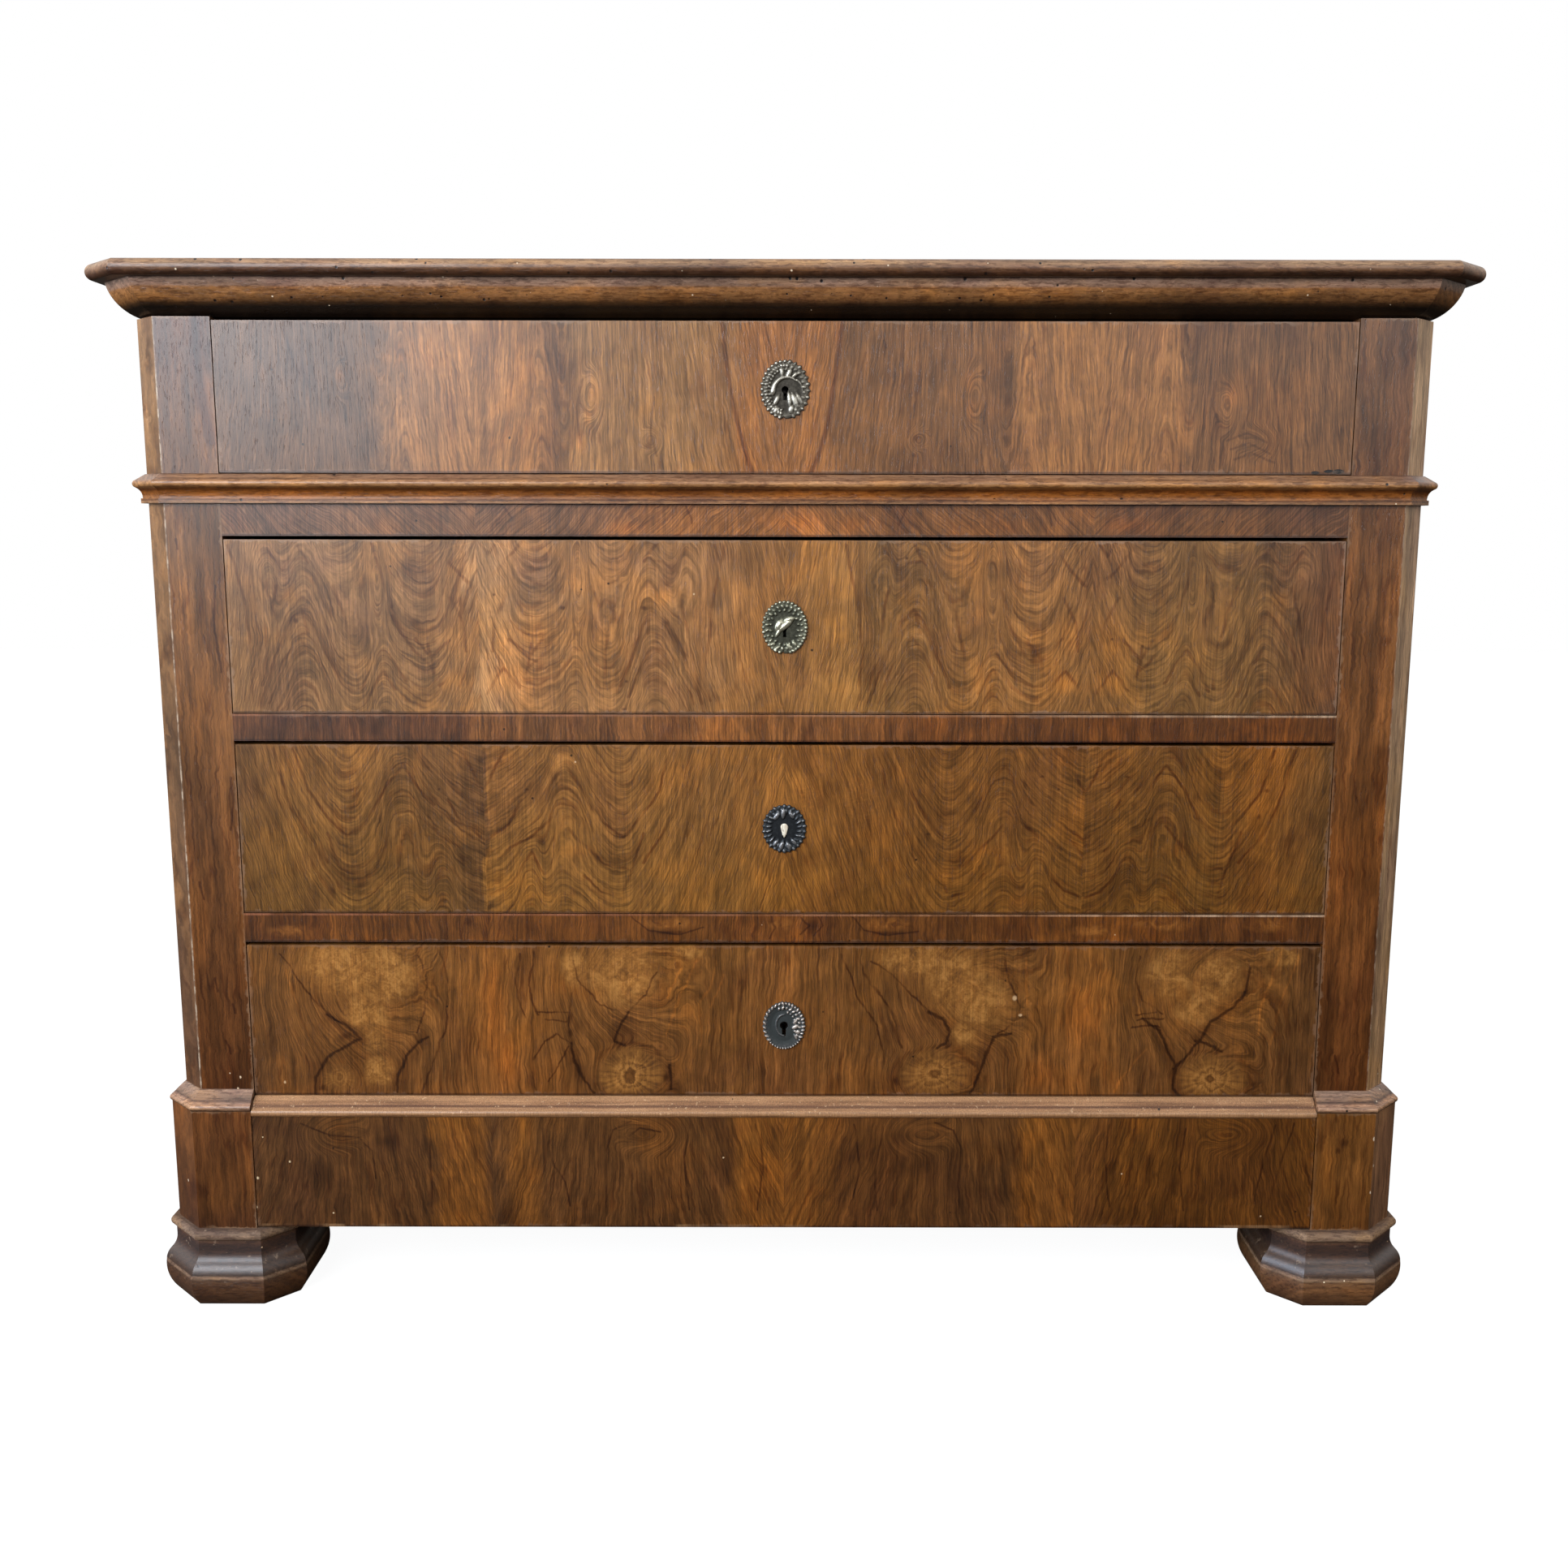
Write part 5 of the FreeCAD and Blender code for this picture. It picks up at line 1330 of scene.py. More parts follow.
def moulded(name, along, levels, holes=0.0, chips=0.05, rough=0.34, contrast=0.28):
    """A moulding with colours by height over grain along X or Y."""
    wood = Finish(name)
    x, y, z = wood.split(wood.place)
    turned = {"x": wood.join(y, z, x), "y": wood.join(x, z, y)}[along]
    grain = wood.group(grain_group, {"Vector": turned})
    drift = wood.noise(wood.scaled(turned, 40.0, 40.0, 12.0), 1.0, 4.0, 0.65)
    wood.colour = by_height(wood, z + drift * 0.0018, 0.0009, levels)
    across = wood.split(turned)
    field = across["X"] + across["Y"] + drift * 0.01
    growth = wood.group(growth_group, {"Field": field, "Along": across["Z"], "Up": 0.0,
                                       "Bands": 260.0, "Lines": 300.0, "Thin": 0.05})
    mottle = wood.group(mottle_group, {"Vector": wood.scaled(wood.place, 1.0, 1.0, 2.0)})
    wood.tint(mottle["Gold"], gold, 0.8)
    wood.tint(mottle["Dusk"], (0.72, 0.66, 0.7), 0.8)
    wood.vary(growth["Band"], contrast)
    wood.vary(grain["Hair"], 0.12)
    wood.tint(growth["Line"], bark, 0.4)
    worn = wood.fade(wood.noise(wood.place, 330.0, 3.0, 0.6), 0.56, 0.68)
    wood.tint(worn * mottle["Cloud"], (1.6, 1.56, 1.5))
    grime = wood.fade(wood.noise(wood.scaled(turned, 380.0, 380.0, 90.0), 1.0, 4.0, 0.7), 0.48, 0.62)
    wood.tint(grime, (0.44, 0.38, 0.36), 0.8)
    specks = wood.group(specks_group, {"Vector": wood.place, "Holes": holes, "Chips": chips, "Close": 105.0})
    wood.paint(specks["Chip"], (226, 204, 172))
    wood.paint(specks["Hole"], (20, 12, 8))
    wood.shine = rough - 0.05 + mottle["Cloud"] * 0.1
    up = wood.split(wood.node("TexCoord").outputs["Normal"])["Z"]
    wood.shine = wood.shine + wood.fade(up, 0.9, 0.98, 0.0, 0.2)
    wood.relief = grain["Hair"] * 0.3 - (grain["Pore"] + specks["Hole"] * 3.0)
    return wood


# %% Colours of the mouldings, by height
# The board's darkest colours at 970 to 973 mm are painted shade along its lower edge; its light colour at 980.5 mm,
# below the top arris, is partly wear and partly a painted highlight.
board = [(970, (54, 34, 22)), (973, (76, 49, 32)), (975.5, (110, 76, 50)), (977.5, (131, 96, 68)),
         (980.5, (160, 125, 92)), (984, (130, 98, 68))]
# The cornice's colours below 949.5 mm, near black, are painted shade under its round; the pale grey ones from 963 mm
# up are a painted reflection on its upper round.
cornice = [(939, (8, 4, 2)), (946.5, (14, 8, 3)), (949.5, (62, 40, 20)), (952, (108, 72, 40)), (958, (140, 95, 54)),
           (961.5, (148, 100, 58)), (963, (150, 114, 90)), (969, (160, 128, 106)), (970, (116, 84, 64))]
waist = [(774.6, (128, 90, 56)), (776.4, (146, 102, 64)), (777.3, (92, 54, 26)), (779, (140, 88, 42)),
         (784, (136, 79, 31)), (787.3, (94, 50, 18)), (788.8, (142, 96, 54)), (791.5, (169, 121, 76)),
         (794.6, (156, 111, 74)), (795.8, (136, 99, 72)), (799.8, (142, 106, 79)), (801.1, (92, 62, 44))]
plinth = [(196, (60, 36, 22)), (198, (132, 98, 72)), (200, (170, 130, 100)), (203.5, (160, 120, 92)),
          (205.5, (90, 62, 46)), (207, (124, 94, 72)), (212, (144, 112, 90)), (214, (138, 108, 86))]
dress(moulded("walnut_board", "x", board, 0.35, 0.3, 0.36, 0.34).polish(), "top_board")
dress(moulded("walnut_cornice", "x", cornice, 0.6, 0.2, 0.38, 0.34).polish(), "cornice_front")
dress(moulded("walnut_cornice_side", "y", cornice, 0.3, 0.16).polish(), "cornice_left", "cornice_right")
print("board and cornice finished")

# %% Waist moulding, with its cracks
def waist_front():
    wood = moulded("walnut_waist", "x", waist, 0.15, 0.06)
    cracks = wood.veins(wood.place, [
        [(-268, 786.5), (-238, 785.6), (-206, 786)], [(-113, 778.6), (-95, 778.4)], [(428, 778.6), (446, 778.4)],
        [(-66, 783), (-62, 782)]], 1.1)
    wood.paint(cracks, (20, 10, 5))
    return wood.polish()


dress(waist_front(), "waist_moulding_front")
dress(moulded("walnut_waist_side", "y", waist, 0.1, 0.12).polish(), "waist_moulding_left", "waist_moulding_right")
dress(moulded("walnut_plinth_moulding", "x", plinth, 0.1, 0.2).polish(),
      "plinth_moulding_left", "plinth_moulding_right")
print("waist and plinth mouldings finished")

# %% [markdown]
# ## Posts, blocks and feet
#
# The posts and blocks stand at the corners. Their cut corners are rubbed dull and pale by
# everyone who passes, and the arris beside them is chipped. On the right the posts and blocks
# are painted lighter, the cut corners most, as the reflection of a light at the right. They are
# redder and darker low down. The feet are more glossy than the rest. Their creases are painted
# as pale lines of highlight, and the right foot, low down most of all, is painted lighter and
# bluer as a reflection.

# %% Upright pieces
def upright(name, tones, arris, node, rough=0.3, bands=60.0):
    """Upright grain; tones gives the colours by height of the left and right front, then of their cut corners."""
    wood = Finish(name)
    x, y, z = wood.split(wood.place)
    grain = wood.group(grain_group, {"Vector": wood.place})
    off = wander(wood, 0.012, 9.0)
    drift = z + wood.noise(wood.place, 22.0, 3.0, 0.6) * 0.05
    is_right = wood.fade(x, -0.001, 0.001)
    faces = wood.split(wood.node("TexCoord").outputs["Normal"])
    cut = wood.fade(wood.size(faces["X"]), 0.35, 0.6)
    cut = cut * wood.fade(wood.size(faces["Y"]), 0.35, 0.6)
    # The right front's and right cut corner's colours are lighter than the left ones: a painted reflection of the
    # light at the right, strongest on the cut corner.
    left, right, cut_left, cut_right = [by_height(wood, drift, 0.025, levels) for levels in tones]
    front = wood.mix(is_right, left, right)
    corner = wood.mix(is_right, cut_left, cut_right)
    wood.colour = wood.mix(cut, front, corner)
    field = x + y * 0.7 + off["X"]
    growth = wood.group(growth_group, {"Field": field, "Along": y, "Up": z, "Bands": bands,
                                       "Lines": 90.0, "Thin": 0.05})
    mottle = wood.group(mottle_group, {"Vector": wood.scaled(wood.place, 1.0, 1.0, 0.6)})
    wood.tint(mottle["Gold"], gold, 0.7)
    wood.tint(mottle["Dusk"], dusk, 0.8)
    wood.vary(mottle["Cloud"], 0.14)
    wood.vary(growth["Band"], 0.34)
    wood.vary(growth["Fine"], 0.3)
    wood.vary(grain["Hair"], 0.18)
    wood.tint(growth["Line"], bark, 0.7)
    wood.tint(grain["Pore"], pore_tint, 0.6)
    if arris:
        near = wood.fall(wood.size(wood.size(x) - arris), 0.0002, 0.0014)
        ragged = wood.fade(wood.noise(wood.scaled(wood.place, 90.0, 90.0, 60.0), 1.0, 3.0, 0.6), 0.45, 0.6, 0.2, 1.0)
        near = near * (ragged * wood.fade(x, -0.1, 0.1, 0.8, 0.35))
        wood.paint(near, (190, 168, 142))
    mirrored = wood.join(wood.size(x) * -1.0, y, z)
    low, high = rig.box(node)
    worn = wood.group(edge_sheen_and_wear_group, {"Vector": mirrored, "Low": low, "High": high, "Width": 0.003})
    wood.paint(worn["Wear"] * 0.4, (160, 128, 98))
    specks = wood.group(specks_group, {"Vector": wood.place, "Holes": 0.06, "Chips": 0.016, "Close": 64.0})
    wood.paint(specks["Chip"] * 0.8, (206, 180, 150))
    wood.paint(specks["Hole"] * 0.9, (30, 16, 8))
    wood.shine = rough - 0.05 + mottle["Cloud"] * 0.1 + cut * 0.14
    wood.relief = grain["Hair"] * 0.3 - grain["Pore"]
    return wood


print("upright grain ready")

# %% Posts
def stiles():
    wood = upright("walnut_stile", [
        [(208, (80, 44, 18)), (330, (92, 53, 22)), (480, (100, 61, 28)), (640, (112, 72, 36)), (760, (108, 70, 36)),
         (940, (80, 48, 27))],
        [(208, (90, 50, 20)), (330, (102, 58, 24)), (480, (112, 66, 28)), (640, (116, 71, 33)), (760, (110, 68, 33)),
         (940, (104, 67, 37))],
        [(208, (84, 54, 32)), (400, (96, 66, 40)), (700, (120, 84, 50)), (940, (126, 92, 60))],
        [(208, (152, 116, 80)), (400, (167, 131, 94)), (700, (178, 142, 107)), (940, (180, 145, 108))]],
        0.567, "stile_left")
    off = wander(wood, 0.01, 30.0)
    x, y, z = wood.split(wood.place)
    point = wood.join(x + off["X"], 0.0, z + off["Z"])
    purple = wood.veins(point, [[(-528, 936), (-530, 900), (-526, 860), (-520, 830)]], 9.0)
    wood.tint(purple, (0.5, 0.42, 0.5), 0.9)
    marks = wood.veins(point, [
        [(-548, 326), (-546, 314)], [(-532, 300), (-530, 292)], [(-556, 420), (-552, 404)],
        [(-540, 262), (-536, 250)], [(-524, 700), (-528, 660), (-524, 620)], [(534, 250), (538, 232)],
        [(-558, 742), (-556, 734)], [(-520, 520), (-522, 470)]], 1.8)
    wood.tint(marks, (0.36, 0.26, 0.22), 0.8)
    stain = wood.ovals(point, [(545, 214, 22, 16), (-540, 214, 20, 12)], 0.1)
    wood.tint(stain, (0.6, 0.5, 0.44), 0.5)
    pale = wood.ovals(wood.place, [(-528, 226, 1.2, 2), (-531, 214, 1.4, 2.4), (-538, 230, 1, 1)], 0.4)
    wood.paint(pale, (206, 178, 144))
    return wood.polish()


dress(stiles(), "stile_left", "stile_right")
print("posts finished")

# %% Plinth blocks
def blocks():
    wood = upright("walnut_block", [
        [(76, (74, 41, 18)), (110, (87, 50, 20)), (196, (93, 53, 22))],
        [(76, (98, 58, 22)), (110, (109, 66, 25)), (196, (115, 71, 29))],
        [(76, (92, 52, 21)), (196, (110, 65, 28))],
        [(76, (124, 86, 54)), (196, (134, 94, 60))]], 0.0, "plinth_block_left", 0.34, 40.0)
    spots = wood.ovals(wood.place, [(543, 166, 7, 8), (538, 158, 4, 5)], 0.2)
    wood.tint(spots, (0.32, 0.24, 0.2), 0.8)
    chips = wood.ovals(wood.place, [
        (572, 170, 1.2, 3), (574, 142, 1, 2), (572, 115, 1, 2), (-585, 120, 1, 2)], 0.4)
    wood.paint(chips, (200, 176, 148))
    return wood.polish()


dress(blocks(), "plinth_block_left", "plinth_block_right")
print("blocks finished")

# %% Feet
def feet():
    # The pale colours at 30 and 31.6 mm are a painted highlight along the crease.
    wood = moulded("walnut_foot", "x", [
        (0, (58, 34, 20)), (4, (72, 44, 26)), (20, (82, 50, 28)), (28, (78, 50, 30)), (30, (128, 98, 74)),
        (31.6, (126, 98, 76)), (33, (66, 45, 30)), (46, (64, 43, 28)), (54, (44, 28, 17)), (61, (52, 34, 22)),
        (65.5, (88, 62, 42)), (68, (134, 106, 82)), (73, (122, 96, 74)), (76, (92, 68, 50))], 0.05, 0.12, 0.35, 0.24)
    x, y, z = wood.split(wood.place)
    # The lower part of both feet, and much more of the right foot, is painted lighter and bluer as a reflection of the
    # window; the right foot is painted lighter all over as light.
    is_right = wood.fade(x, -0.01, 0.01)
    low = wood.fall(z, 0.028, 0.031)
    wood.tint(is_right * low, (1.75, 1.85, 1.85))
    wood.tint(low, (1.12, 1.2, 1.2))
    wood.tint(is_right, (1.2, 1.2, 1.16))
    swelling, neck = 0.045, 0.052
    wood.shine = wood.shine + wood.fade(z, swelling, neck, 0.1, 0.45)
    wood.tint(wood.fade(z, swelling, neck, 0.0, wood.fall(z, 0.062, 0.066, 0.6)), (1.3, 0.94, 0.7))
    knocks = wood.fade(wood.noise(wood.place, 120.0, 3.0, 0.6), 0.62, 0.72)
    knocks = knocks * wood.fade(z, 0.02, 0.034, 0.0, 0.5)
    wood.paint(knocks, (150, 124, 100))
    return wood.polish(0.0003, wood.fall(z, swelling, neck, 0.7), 0.4)


dress(feet(), "front_foot_left", "front_foot_right")
print("feet finished")

# %% Sides, back and inside
def solid_wood(name, along, dark, middle, light, boards=None):
    """Plain wood, grain along X, Y or Z. boards gives the first joint and the width of boards side by side."""
    wood = Finish(name)
    x, y, z = wood.split(wood.place)
    deep = y
    if boards:
        from_first = x - boards[0]
        number = wood.math("FLOOR", from_first / boards[1])
        deep = y + number * 0.37
    turned = {"x": wood.join(deep, z, x), "y": wood.join(x, z, deep), "z": wood.join(x, deep, z)}[along]
    grain = wood.group(grain_group, {"Vector": turned})
    bend = wood.noise(wood.scaled(turned, 9.0, 9.0, 1.6), 1.0, 2.0)
    across = wood.split(turned)
    field = across["X"] + across["Y"] * 0.6 + bend * 0.09
    growth = wood.group(growth_group, {"Field": field, "Along": across["Z"], "Up": across["Y"],
                                       "Bands": 75.0, "Lines": 80.0, "Thin": 0.04})
    tone = growth["Band"] * 0.75 + grain["Streak"] * 0.45
    wood.colour = wood.ramp(tone, [(0.36, dark), (0.58, middle), (0.82, light)])
    wood.paint(growth["Line"] * 0.45, dark)
    wood.shade(grain["Hair"], 0.3, 0.7, 0.84, 1.14)
    wood.paint(grain["Pore"] * 0.5, (40, 24, 14))
    specks = wood.group(specks_group, {"Vector": wood.place, "Holes": 0.0, "Chips": 0.03})
    wood.paint(specks["Chip"], light)
    if boards:
        wood.shade(wood.noise(wood.join(number, 0.0, 0.0), 7.3), 0.3, 0.7, 0.82, 1.12)
        joint = wood.math("PINGPONG", from_first, boards[1] / 2.0)
        wood.tint(wood.fall(joint, 0.0004, 0.0016, 0.85), (0.2, 0.16, 0.12))
    wood.shine = 0.4 + grain["Streak"] * 0.14
    wood.relief = grain["Hair"] * 0.3 - grain["Pore"]
    return wood.polish(0.0004)


def of_drawers(*parts):
    return ["drawer_%d_%s" % (number, part) for number in range(1, 5) for part in parts]


dress(solid_wood("walnut_side", "z", (58, 36, 20), (94, 60, 34), (124, 84, 50)),
      "side_panel_left", "side_panel_right", "plinth_sides", "rear_posts", "rear_feet")
oak = (112, 84, 54), (150, 118, 80), (182, 150, 110)
back_left, back_right = (corner[0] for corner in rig.box("back_boards"))
dress(solid_wood("oak_back", "z", *oak, (back_left, (back_right - back_left) / 6.0)), "back_boards")
dress(solid_wood("oak_lengthwise", "y", *oak), "drawer_runners", "plinth_drawer_sides", *of_drawers("sides"))
dress(solid_wood("oak_crosswise", "x", *oak), "plinth_rails", "rear_rails", "drawer_stops", "plinth_drawer_back",
      "plinth_drawer_bottom", *of_drawers("back", "bottom"))
print("sides, back and inside finished")

# %% Metal
def plain_metal(name, dark, middle, bright):
    metal = Finish(name)
    cast = metal.noise(metal.place, 1040.0, 3.0, 0.6)
    cloud = metal.noise(metal.place, 260.0, 4.0, 0.6, 0.5)
    metal.colour = metal.ramp(cloud, [(0.34, dark), (0.52, middle), (0.7, bright)])
    metal.shine = metal.fade(cloud, 0.3, 0.7, 0.55, 0.32)
    return metal.burnish(cast, 0.4, 0.9)


iron = plain_metal("lock_iron", (38, 34, 32), (70, 66, 62), (104, 98, 92))
dress(iron, "strike_plates", *of_drawers("lock", "bolt"))
dress(plain_metal("cast_brass", (50, 44, 34), (126, 116, 92), (196, 186, 160)), *of_drawers("escutcheon"))
print("metal finishes")

# %% [markdown]
# ## The keyhole plates
#
# Each drawer has a cast brass plate round its keyhole, pressed out of the same idea four
# times: a rim of beads, a ring of flutes and a leaf that curls over the keyhole. A founder
# would cut the model from many small rounded forms, so the plates are built in the same
# way. One rounded form is modelled, copies of it are turned, stretched and laid on a dished
# plate, and a voxel remesh melts them together as the casting did.

# %% Tools for the founder's model
face_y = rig.box("drawer_1_front")[0][1]
quarter_turn = math.radians(90.0)
facing = (quarter_turn, 0.0, 0.0)


def cylinder(sides, radius, depth, place):
    """A cylinder that faces the front, selected alone."""
    bpy.ops.object.select_all(action="DESELECT")
    bpy.ops.mesh.primitive_cylinder_add(vertices=sides, radius=radius, depth=depth, location=place, rotation=facing)
    return bpy.context.active_object


def only(obj):
    """Selects this object alone and makes it the active one."""
    bpy.ops.object.select_all(action="DESELECT")
    obj.select_set(True)
    bpy.context.view_layer.objects.active = obj


def pick(obj, kind, wanted):
    """Selects the vertices (kind VERT) or faces (kind FACE) that are wanted, then stays in edit mode."""
    only(obj)
    bpy.ops.object.mode_set(mode="EDIT")
    bpy.ops.mesh.select_mode(type=kind)
    bpy.ops.mesh.select_all(action="DESELECT")
    bpy.ops.object.mode_set(mode="OBJECT")
    for element in obj.data.vertices if kind == "VERT" else obj.data.polygons:
        element.select = wanted(element)
    bpy.ops.object.mode_set(mode="EDIT")


def fix_place(obj):
    """Puts the object's place, turn and size into its mesh."""
    only(obj)
    bpy.ops.object.transform_apply(location=True, rotation=True, scale=True)


def apply_modifier(obj, kind, **settings):
    only(obj)
    modifier = obj.modifiers.new(kind.lower(), kind)
    for name, value in settings.items():
        setattr(modifier, name, value)
    bpy.ops.object.modifier_apply(modifier=modifier.name)


def rounded_form():
    """One rounded form: a ball drawn to a blunt point at one end and flattened at the back."""
    bpy.ops.object.select_all(action="DESELECT")
    bpy.ops.mesh.primitive_uv_sphere_add(segments=12, ring_count=8, radius=1.0, rotation=(0.0, quarter_turn, 0.0))
    form = bpy.context.active_object
    fix_place(form)
    pick(form, "VERT", lambda vertex: vertex.co.x > 0.5)
    bpy.ops.transform.resize(value=(1.0, 0.75, 0.75))
    bpy.ops.object.mode_set(mode="OBJECT")
    pick(form, "VERT", lambda vertex: vertex.co.y > 0.3)
    bpy.ops.transform.resize(value=(1.0, 0.4, 1.0))
    bpy.ops.object.mode_set(mode="OBJECT")
    form.name = "rounded_form"
    return form


form = rounded_form()
print("rounded form with", len(form.data.polygons), "faces")

# %% A form laid on the plate
def lay(x, z, length, width, height, angle=0.0, base=0.0009):
    """A copy of the form, in millimetres from the keyhole, turned by angle from the X axis."""
    copy = form.copy()
    copy.data = form.data.copy()
    bpy.context.scene.collection.objects.link(copy)
    copy.matrix_world = (Matrix.Translation((x / 1000.0, face_y - base, z / 1000.0))
                         @ Matrix.Rotation(-math.radians(angle), 4, "Y")
                         @ Matrix.Diagonal((length / 2000.0, height / 1000.0, width / 2000.0, 1.0)))
    return copy


def ring(count, wide, high, length, width, height, lean=0.0, first=0.0, last=360.0, bottom=0.0, vary=0.15):
    """Forms round an oval. lean turns them away from pointing outwards; bottom shifts the oval."""
    made = []
    for step in range(count):
        angle = first + (last - first) * (step + 0.5) / count
        turn = math.radians(angle)
        size = 1.0 + vary * math.sin(step * 2.4 + count)
        made.append(lay(wide / 2.0 * math.cos(turn), high / 2.0 * math.sin(turn) + bottom,
                        length * size, width, height * size, angle + lean))
    return made


def arc(centre_x, centre_z, radius_x, radius_z, first, last, thick, height, count=16, taper=0.5, base=0.0012):
    """A ridge of overlapping forms along an arc, thinner towards its end."""
    made = []
    for step in range(count):
        share = (step + 0.5) / count
        turn = math.radians(first + (last - first) * share)
        size = 1.0 - (1.0 - taper) * share
        way = math.degrees(math.atan2(radius_z * math.cos(turn), -radius_x * math.sin(turn)))
        made.append(lay(centre_x + radius_x * math.cos(turn), centre_z + radius_z * math.sin(turn),
                        thick * 1.8, thick * size, height * size, way, base))
    return made


print("lay, ring and arc ready")

# %% The dished plate with its keyhole
def dished_plate(number, notch=False, hole=1.0):
    """A cylinder given the plate's outline, dished by insets, with the keyhole cut through."""
    low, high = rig.box("drawer_%d_escutcheon" % number)
    wide, tall = high[0] - low[0], high[2] - low[2]
    eye = (low[2] + high[2]) / 2.0
    plate = cylinder(80, 0.5, 1.0, (0.0, face_y - 0.0006, 0.0))
    plate.scale = (wide * 0.95, tall * 0.95, 0.0012)
    fix_place(plate)
    pick(plate, "FACE", lambda face: face.normal.y < -0.9)
    for inwards, backwards in ((0.0022, -0.0004), (0.0055, 0.0007), (0.004, -0.0002)):
        bpy.ops.mesh.inset(thickness=inwards)
        bpy.ops.transform.translate(value=(0.0, backwards, 0.0))
    bpy.ops.object.mode_set(mode="OBJECT")
    cutters = [cylinder(32, 0.003 * hole, 0.02, (0.0, face_y, 0.0))]
    bpy.ops.object.select_all(action="DESELECT")
    bpy.ops.mesh.primitive_cube_add(size=1.0, location=(0.0, face_y, -0.0045))
    slot = bpy.context.active_object
    slot.scale = (0.0028 * hole, 0.02, 0.009 * hole)
    cutters.append(slot)
    if notch:
        cutters.append(cylinder(3, 0.0035, 0.02, (-0.0012, face_y, -tall * 0.5)))
    for cutter in cutters:
        fix_place(cutter)
        apply_modifier(plate, "BOOLEAN", operation="DIFFERENCE", object=cutter, solver="EXACT")
        bpy.data.objects.remove(cutter)
    return plate, wide * 1000.0, tall * 1000.0, eye


def cast(number, plate, parts, eye):
    """Joins the model's forms and melts them into one closed casting at the keyhole's height."""
    bpy.ops.object.select_all(action="DESELECT")
    for part in parts:
        part.select_set(True)
    plate.select_set(True)
    bpy.context.view_layer.objects.active = plate
    bpy.ops.object.join()
    plate.location = (0.0, 0.0, eye)
    fix_place(plate)
    apply_modifier(plate, "REMESH", mode="VOXEL", voxel_size=0.00032)
    apply_modifier(plate, "SMOOTH", factor=0.5, iterations=2)
    only(plate)
    bpy.ops.object.shade_smooth()
    plate.name = "escutcheon_%d" % number
    plate.data.materials.clear()
    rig.ride(plate, "drawer_%d" % number)
    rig.replaces(plate, "drawer_%d_escutcheon" % number)
    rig.slot(plate, "cast_brass")
    print(plate.name, "faces", len(plate.data.polygons))
    return plate


print("plate tools ready")

# %% Plate 1: a crescent over the keyhole
def first_plate():
    plate, wide, tall, eye = dished_plate(1, notch=True)
    parts = ring(16, wide - 3.4, tall - 3.6, 3.8, 3.6, 2.0, 0.0, 85.0, 262.0)
    parts += ring(12, wide - 3.0, tall - 3.4, 3.4, 4.2, 1.4, 90.0, -75.0, 85.0)
    parts += ring(22, wide - 10.5, tall - 11.0, 4.6, 3.0, 1.7, 18.0, 80.0, 262.0)
    parts += ring(18, wide - 16.5, tall - 17.0, 3.4, 2.6, 1.4, -30.0, 70.0, 262.0)
    parts += ring(12, wide - 10.0, tall - 11.0, 4.8, 3.6, 1.3, -25.0, -75.0, 75.0)
    parts += arc(1.5, -2.5, 12.5, 13.5, 176.0, 58.0, 5.0, 3.0, 22, 0.4)
    parts += arc(6.0, -3.0, 10.0, 13.0, 62.0, 10.0, 2.6, 1.3, 9, 0.5)
    parts += [lay(3.8, -8.5, 17.0, 4.2, 2.4, 96.0), lay(8.8, -9.5, 17.0, 6.0, 2.0, 110.0),
              lay(13.0, -8.0, 14.0, 4.6, 1.5, 118.0), lay(5.6, -17.0, 9.0, 5.6, 2.0, 75.0),
              lay(-7.5, -9.0, 13.0, 4.8, 1.7, 65.0), lay(-8.0, -18.0, 8.0, 5.4, 2.0, 60.0),
              lay(3.5, 14.5, 12.0, 5.0, 2.2, 68.0), lay(-3.0, 15.5, 11.0, 4.0, 1.8, 95.0),
              lay(9.0, 13.0, 9.0, 4.0, 1.8, 40.0)]
    return cast(1, plate, parts, eye)


first_plate()

# %% Plate 2: a leaf folded over the keyhole
def second_plate():
    plate, wide, tall, eye = dished_plate(2, notch=True)
    parts = ring(22, wide - 3.4, tall - 3.6, 3.6, 3.4, 1.9, 0.0, 20.0, 262.0)
    parts += ring(12, wide - 3.2, tall - 3.4, 3.6, 3.6, 1.6, 40.0, -78.0, 20.0)
    parts += ring(24, wide - 10.5, tall - 11.0, 4.4, 2.8, 1.7, 20.0, 0.0, 360.0)
    parts += ring(18, wide - 17.0, tall - 18.0, 3.4, 2.6, 1.3, -25.0, 0.0, 360.0)
    parts += [lay(1.0, 2.6, 21.0, 7.0, 3.2, 40.0), lay(-5.0, 2.5, 14.0, 7.5, 3.0, 62.0),
              lay(4.5, 7.5, 12.0, 6.0, 2.8, 16.0), lay(-6.0, -4.5, 11.0, 4.0, 2.4, 62.0),
              lay(-7.0, -19.0, 9.5, 3.2, 2.0, 35.0), lay(-11.5, -15.5, 8.0, 3.0, 1.8, 35.0),
              lay(4.0, -17.5, 9.0, 4.4, 1.9, 125.0), lay(9.0, -15.0, 8.0, 4.0, 1.7, 130.0)]
    return cast(2, plate, parts, eye)


second_plate()

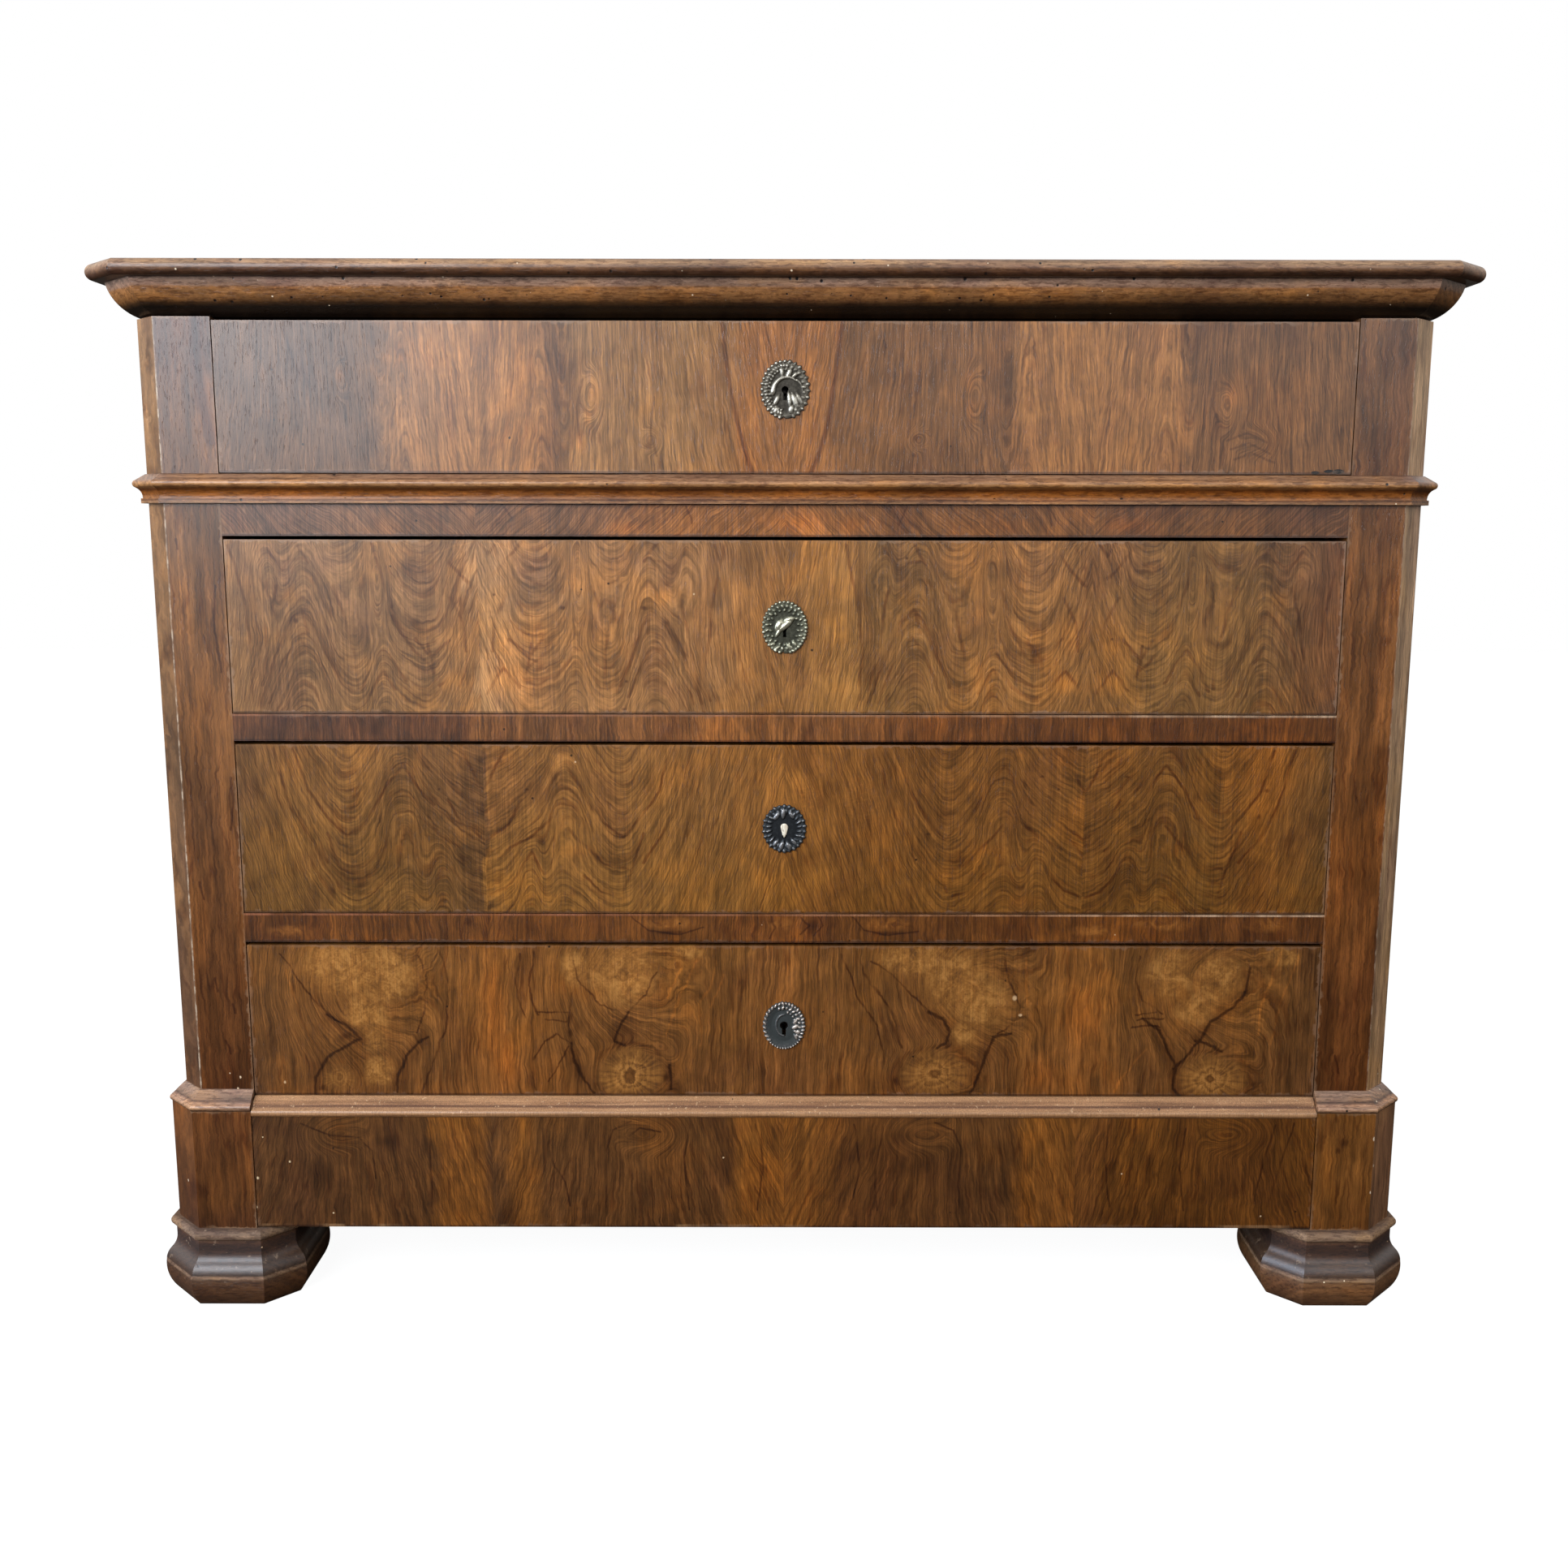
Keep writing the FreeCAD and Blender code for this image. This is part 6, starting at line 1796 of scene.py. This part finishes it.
# %% Plate 3: flutes and a bone inset
def third_plate():
    plate, wide, tall, eye = dished_plate(3)
    parts = ring(26, wide - 4.2, tall - 4.4, 4.4, 3.2, 1.5, 8.0, 0.0, 360.0)
    parts += ring(24, wide - 12.5, tall - 13.0, 7.0, 2.8, 1.6, 14.0, 0.0, 360.0)
    parts += [lay(-1.0, 15.0, 12.0, 5.0, 2.4, 85.0), lay(-7.0, 12.5, 11.0, 5.0, 2.1, 55.0),
              lay(6.5, 13.5, 10.0, 4.6, 2.0, 125.0), lay(-2.5, -16.0, 12.0, 4.6, 2.3, 72.0),
              lay(4.0, -16.5, 11.0, 4.4, 2.1, 112.0), lay(-8.0, -13.5, 10.0, 4.2, 1.9, 55.0),
              lay(9.0, -12.5, 10.0, 4.0, 1.8, 128.0)]
    return cast(3, plate, parts, eye)


third_plate()

# %% Plate 4: a rope rim round a smooth field
def fourth_plate():
    plate, wide, tall, eye = dished_plate(4, hole=1.3)
    parts = ring(11, wide - 4.4, tall - 4.6, 5.6, 2.5, 2.2, -48.0, 98.0, 225.0, vary=0.05)
    parts += ring(13, wide - 3.2, tall - 3.4, 2.5, 2.4, 1.9, 60.0, 225.0, 325.0)
    parts += ring(14, wide - 4.4, tall - 4.6, 4.8, 2.8, 2.2, 20.0, -35.0, 98.0)
    parts += ring(11, wide - 12.0, tall - 13.0, 4.8, 3.0, 2.1, -30.0, -40.0, 115.0)
    parts += ring(7, wide - 19.0, tall - 21.0, 3.8, 2.8, 1.7, 20.0, -30.0, 80.0)
    parts += arc(0.0, 0.5, 7.6, 10.5, 90.0, 270.0, 1.8, 0.8, 18, 1.0)
    parts += [lay(11.0, -1.0, 9.0, 4.6, 2.5, 30.0), lay(13.0, -6.5, 8.0, 4.0, 2.1, -25.0),
              lay(11.0, 4.5, 8.0, 4.0, 2.2, 55.0), lay(11.5, -11.5, 8.0, 3.4, 1.8, -60.0)]
    return cast(4, plate, parts, eye)


fourth_plate()

# %% The bone inset of plate 3
def bone_inset():
    """A pear of bone in the third keyhole: a circle drawn out below, raised and rounded."""
    low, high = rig.box("drawer_3_escutcheon")
    eye = (low[2] + high[2]) / 2.0
    bpy.ops.object.select_all(action="DESELECT")
    bpy.ops.mesh.primitive_circle_add(vertices=28, radius=0.0036, fill_type="NGON",
                                      location=(0.0, face_y - 0.0006, 0.0015), rotation=facing)
    bone = bpy.context.active_object
    fix_place(bone)
    pick(bone, "VERT", lambda vertex: vertex.co.z < 0.0012)
    bpy.ops.transform.translate(value=(0.0, 0.0, -0.005))
    bpy.ops.transform.resize(value=(0.62, 1.0, 1.4), center_override=(0.0, face_y, -0.004))
    bpy.ops.object.mode_set(mode="OBJECT")
    pick(bone, "VERT", lambda vertex: vertex.co.z < -0.006)
    bpy.ops.transform.resize(value=(0.6, 1.0, 1.0), center_override=(0.0, face_y, -0.007))
    bpy.ops.mesh.select_all(action="SELECT")
    bpy.ops.mesh.extrude_region_move(TRANSFORM_OT_translate={"value": (0.0, -0.0016, 0.0)})
    bpy.ops.mesh.inset(thickness=0.0008)
    bpy.ops.transform.translate(value=(0.0, -0.0005, 0.0))
    bpy.ops.mesh.select_all(action="SELECT")
    bpy.ops.mesh.normals_make_consistent(inside=False)
    bpy.ops.object.mode_set(mode="OBJECT")
    bone.location = (0.0, 0.0, eye)
    fix_place(bone)
    apply_modifier(bone, "REMESH", mode="VOXEL", voxel_size=0.0003)
    apply_modifier(bone, "SMOOTH", factor=0.5, iterations=3)
    only(bone)
    bpy.ops.object.shade_smooth()
    bone.name = "bone_inset"
    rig.ride(bone, "drawer_3")
    return bone


bone = bone_inset()
bpy.data.objects.remove(form)
print("bone inset faces", len(bone.data.polygons))

# %% [markdown]
# ## Metal, bone and their grime
#
# The two upper plates are rubbed bright on their high places. The two lower ones are dark
# with old lacquer and soot. The brightness follows the relief: high metal is rubbed clean,
# low metal keeps its grime. The height is read from the distance to the drawer's face.

# %% Brass
def cast_brass(name, low, middle, high, rub_from, rub_to, metallic):
    brass = Finish(name)
    x, y, z = brass.split(brass.place)
    lift = face_y - y
    cloud = brass.noise(brass.place, 420.0, 3.0, 0.6)
    lift = lift + (cloud - 0.5) * 0.0016
    rub = brass.fade(lift, rub_from, rub_to)
    brass.colour = brass.ramp(rub, [(0.0, low), (0.5, middle), (1.0, high)])
    brass.paint(brass.fade(brass.noise(brass.place, 900.0, 2.0), 0.5, 0.75, 0.0, 0.6), low)
    brass.shine = brass.fade(rub, 0.0, 1.0, 0.62, 0.3)
    return brass.burnish(brass.noise(brass.place, 1400.0, 3.0, 0.6), 0.35, metallic)


castings = [cast_brass("brass_rubbed_1", (52, 47, 39), (118, 111, 97), (204, 197, 180), 0.0007, 0.0033, 0.7),
            cast_brass("brass_rubbed_2", (52, 51, 40), (116, 115, 95), (196, 191, 164), 0.0007, 0.0031, 0.7),
            cast_brass("brass_dark_3", (26, 28, 30), (66, 70, 72), (140, 138, 136), 0.0009, 0.0030, 0.65),
            cast_brass("brass_dark_4", (60, 64, 62), (96, 94, 92), (200, 186, 172), 0.0010, 0.0030, 0.6)]
for number, material in enumerate(castings, 1):
    bpy.data.objects["escutcheon_%d" % number].data.materials.append(material)


def bone_finish():
    ivory = Finish("old_bone")
    stretched = ivory.scaled(ivory.place, 500.0, 500.0, 120.0)
    ivory.colour = ivory.ramp(ivory.noise(stretched, 1.0, 3.0), [(0.3, (196, 178, 148)), (0.6, (236, 226, 204))])
    crack = ivory.fade(ivory.noise(ivory.scaled(ivory.place, 900.0, 900.0, 90.0), 1.0, 1.0), 0.62, 0.7)
    ivory.paint(crack, (120, 96, 66))
    ivory.shine = 0.4
    ivory.relief = ivory.noise(stretched, 1.0, 2.0)
    return ivory.polish(0.0001)


bone.data.materials.clear()
bone.data.materials.append(bone_finish())
print("castings and bone finished")

# %% [markdown]
# ## The sizes, at the end
#
# The finished model's box is written out beside the CAD model's.

# %% Sizes and finish
scene_box = [list(corner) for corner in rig.bounds()]
with open("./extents.json", "w") as sizes:
    json.dump({"cad": cad_box, "scene": scene_box}, sizes)
print("scene box in metres:", [[round(value, 4) for value in corner] for corner in scene_box])
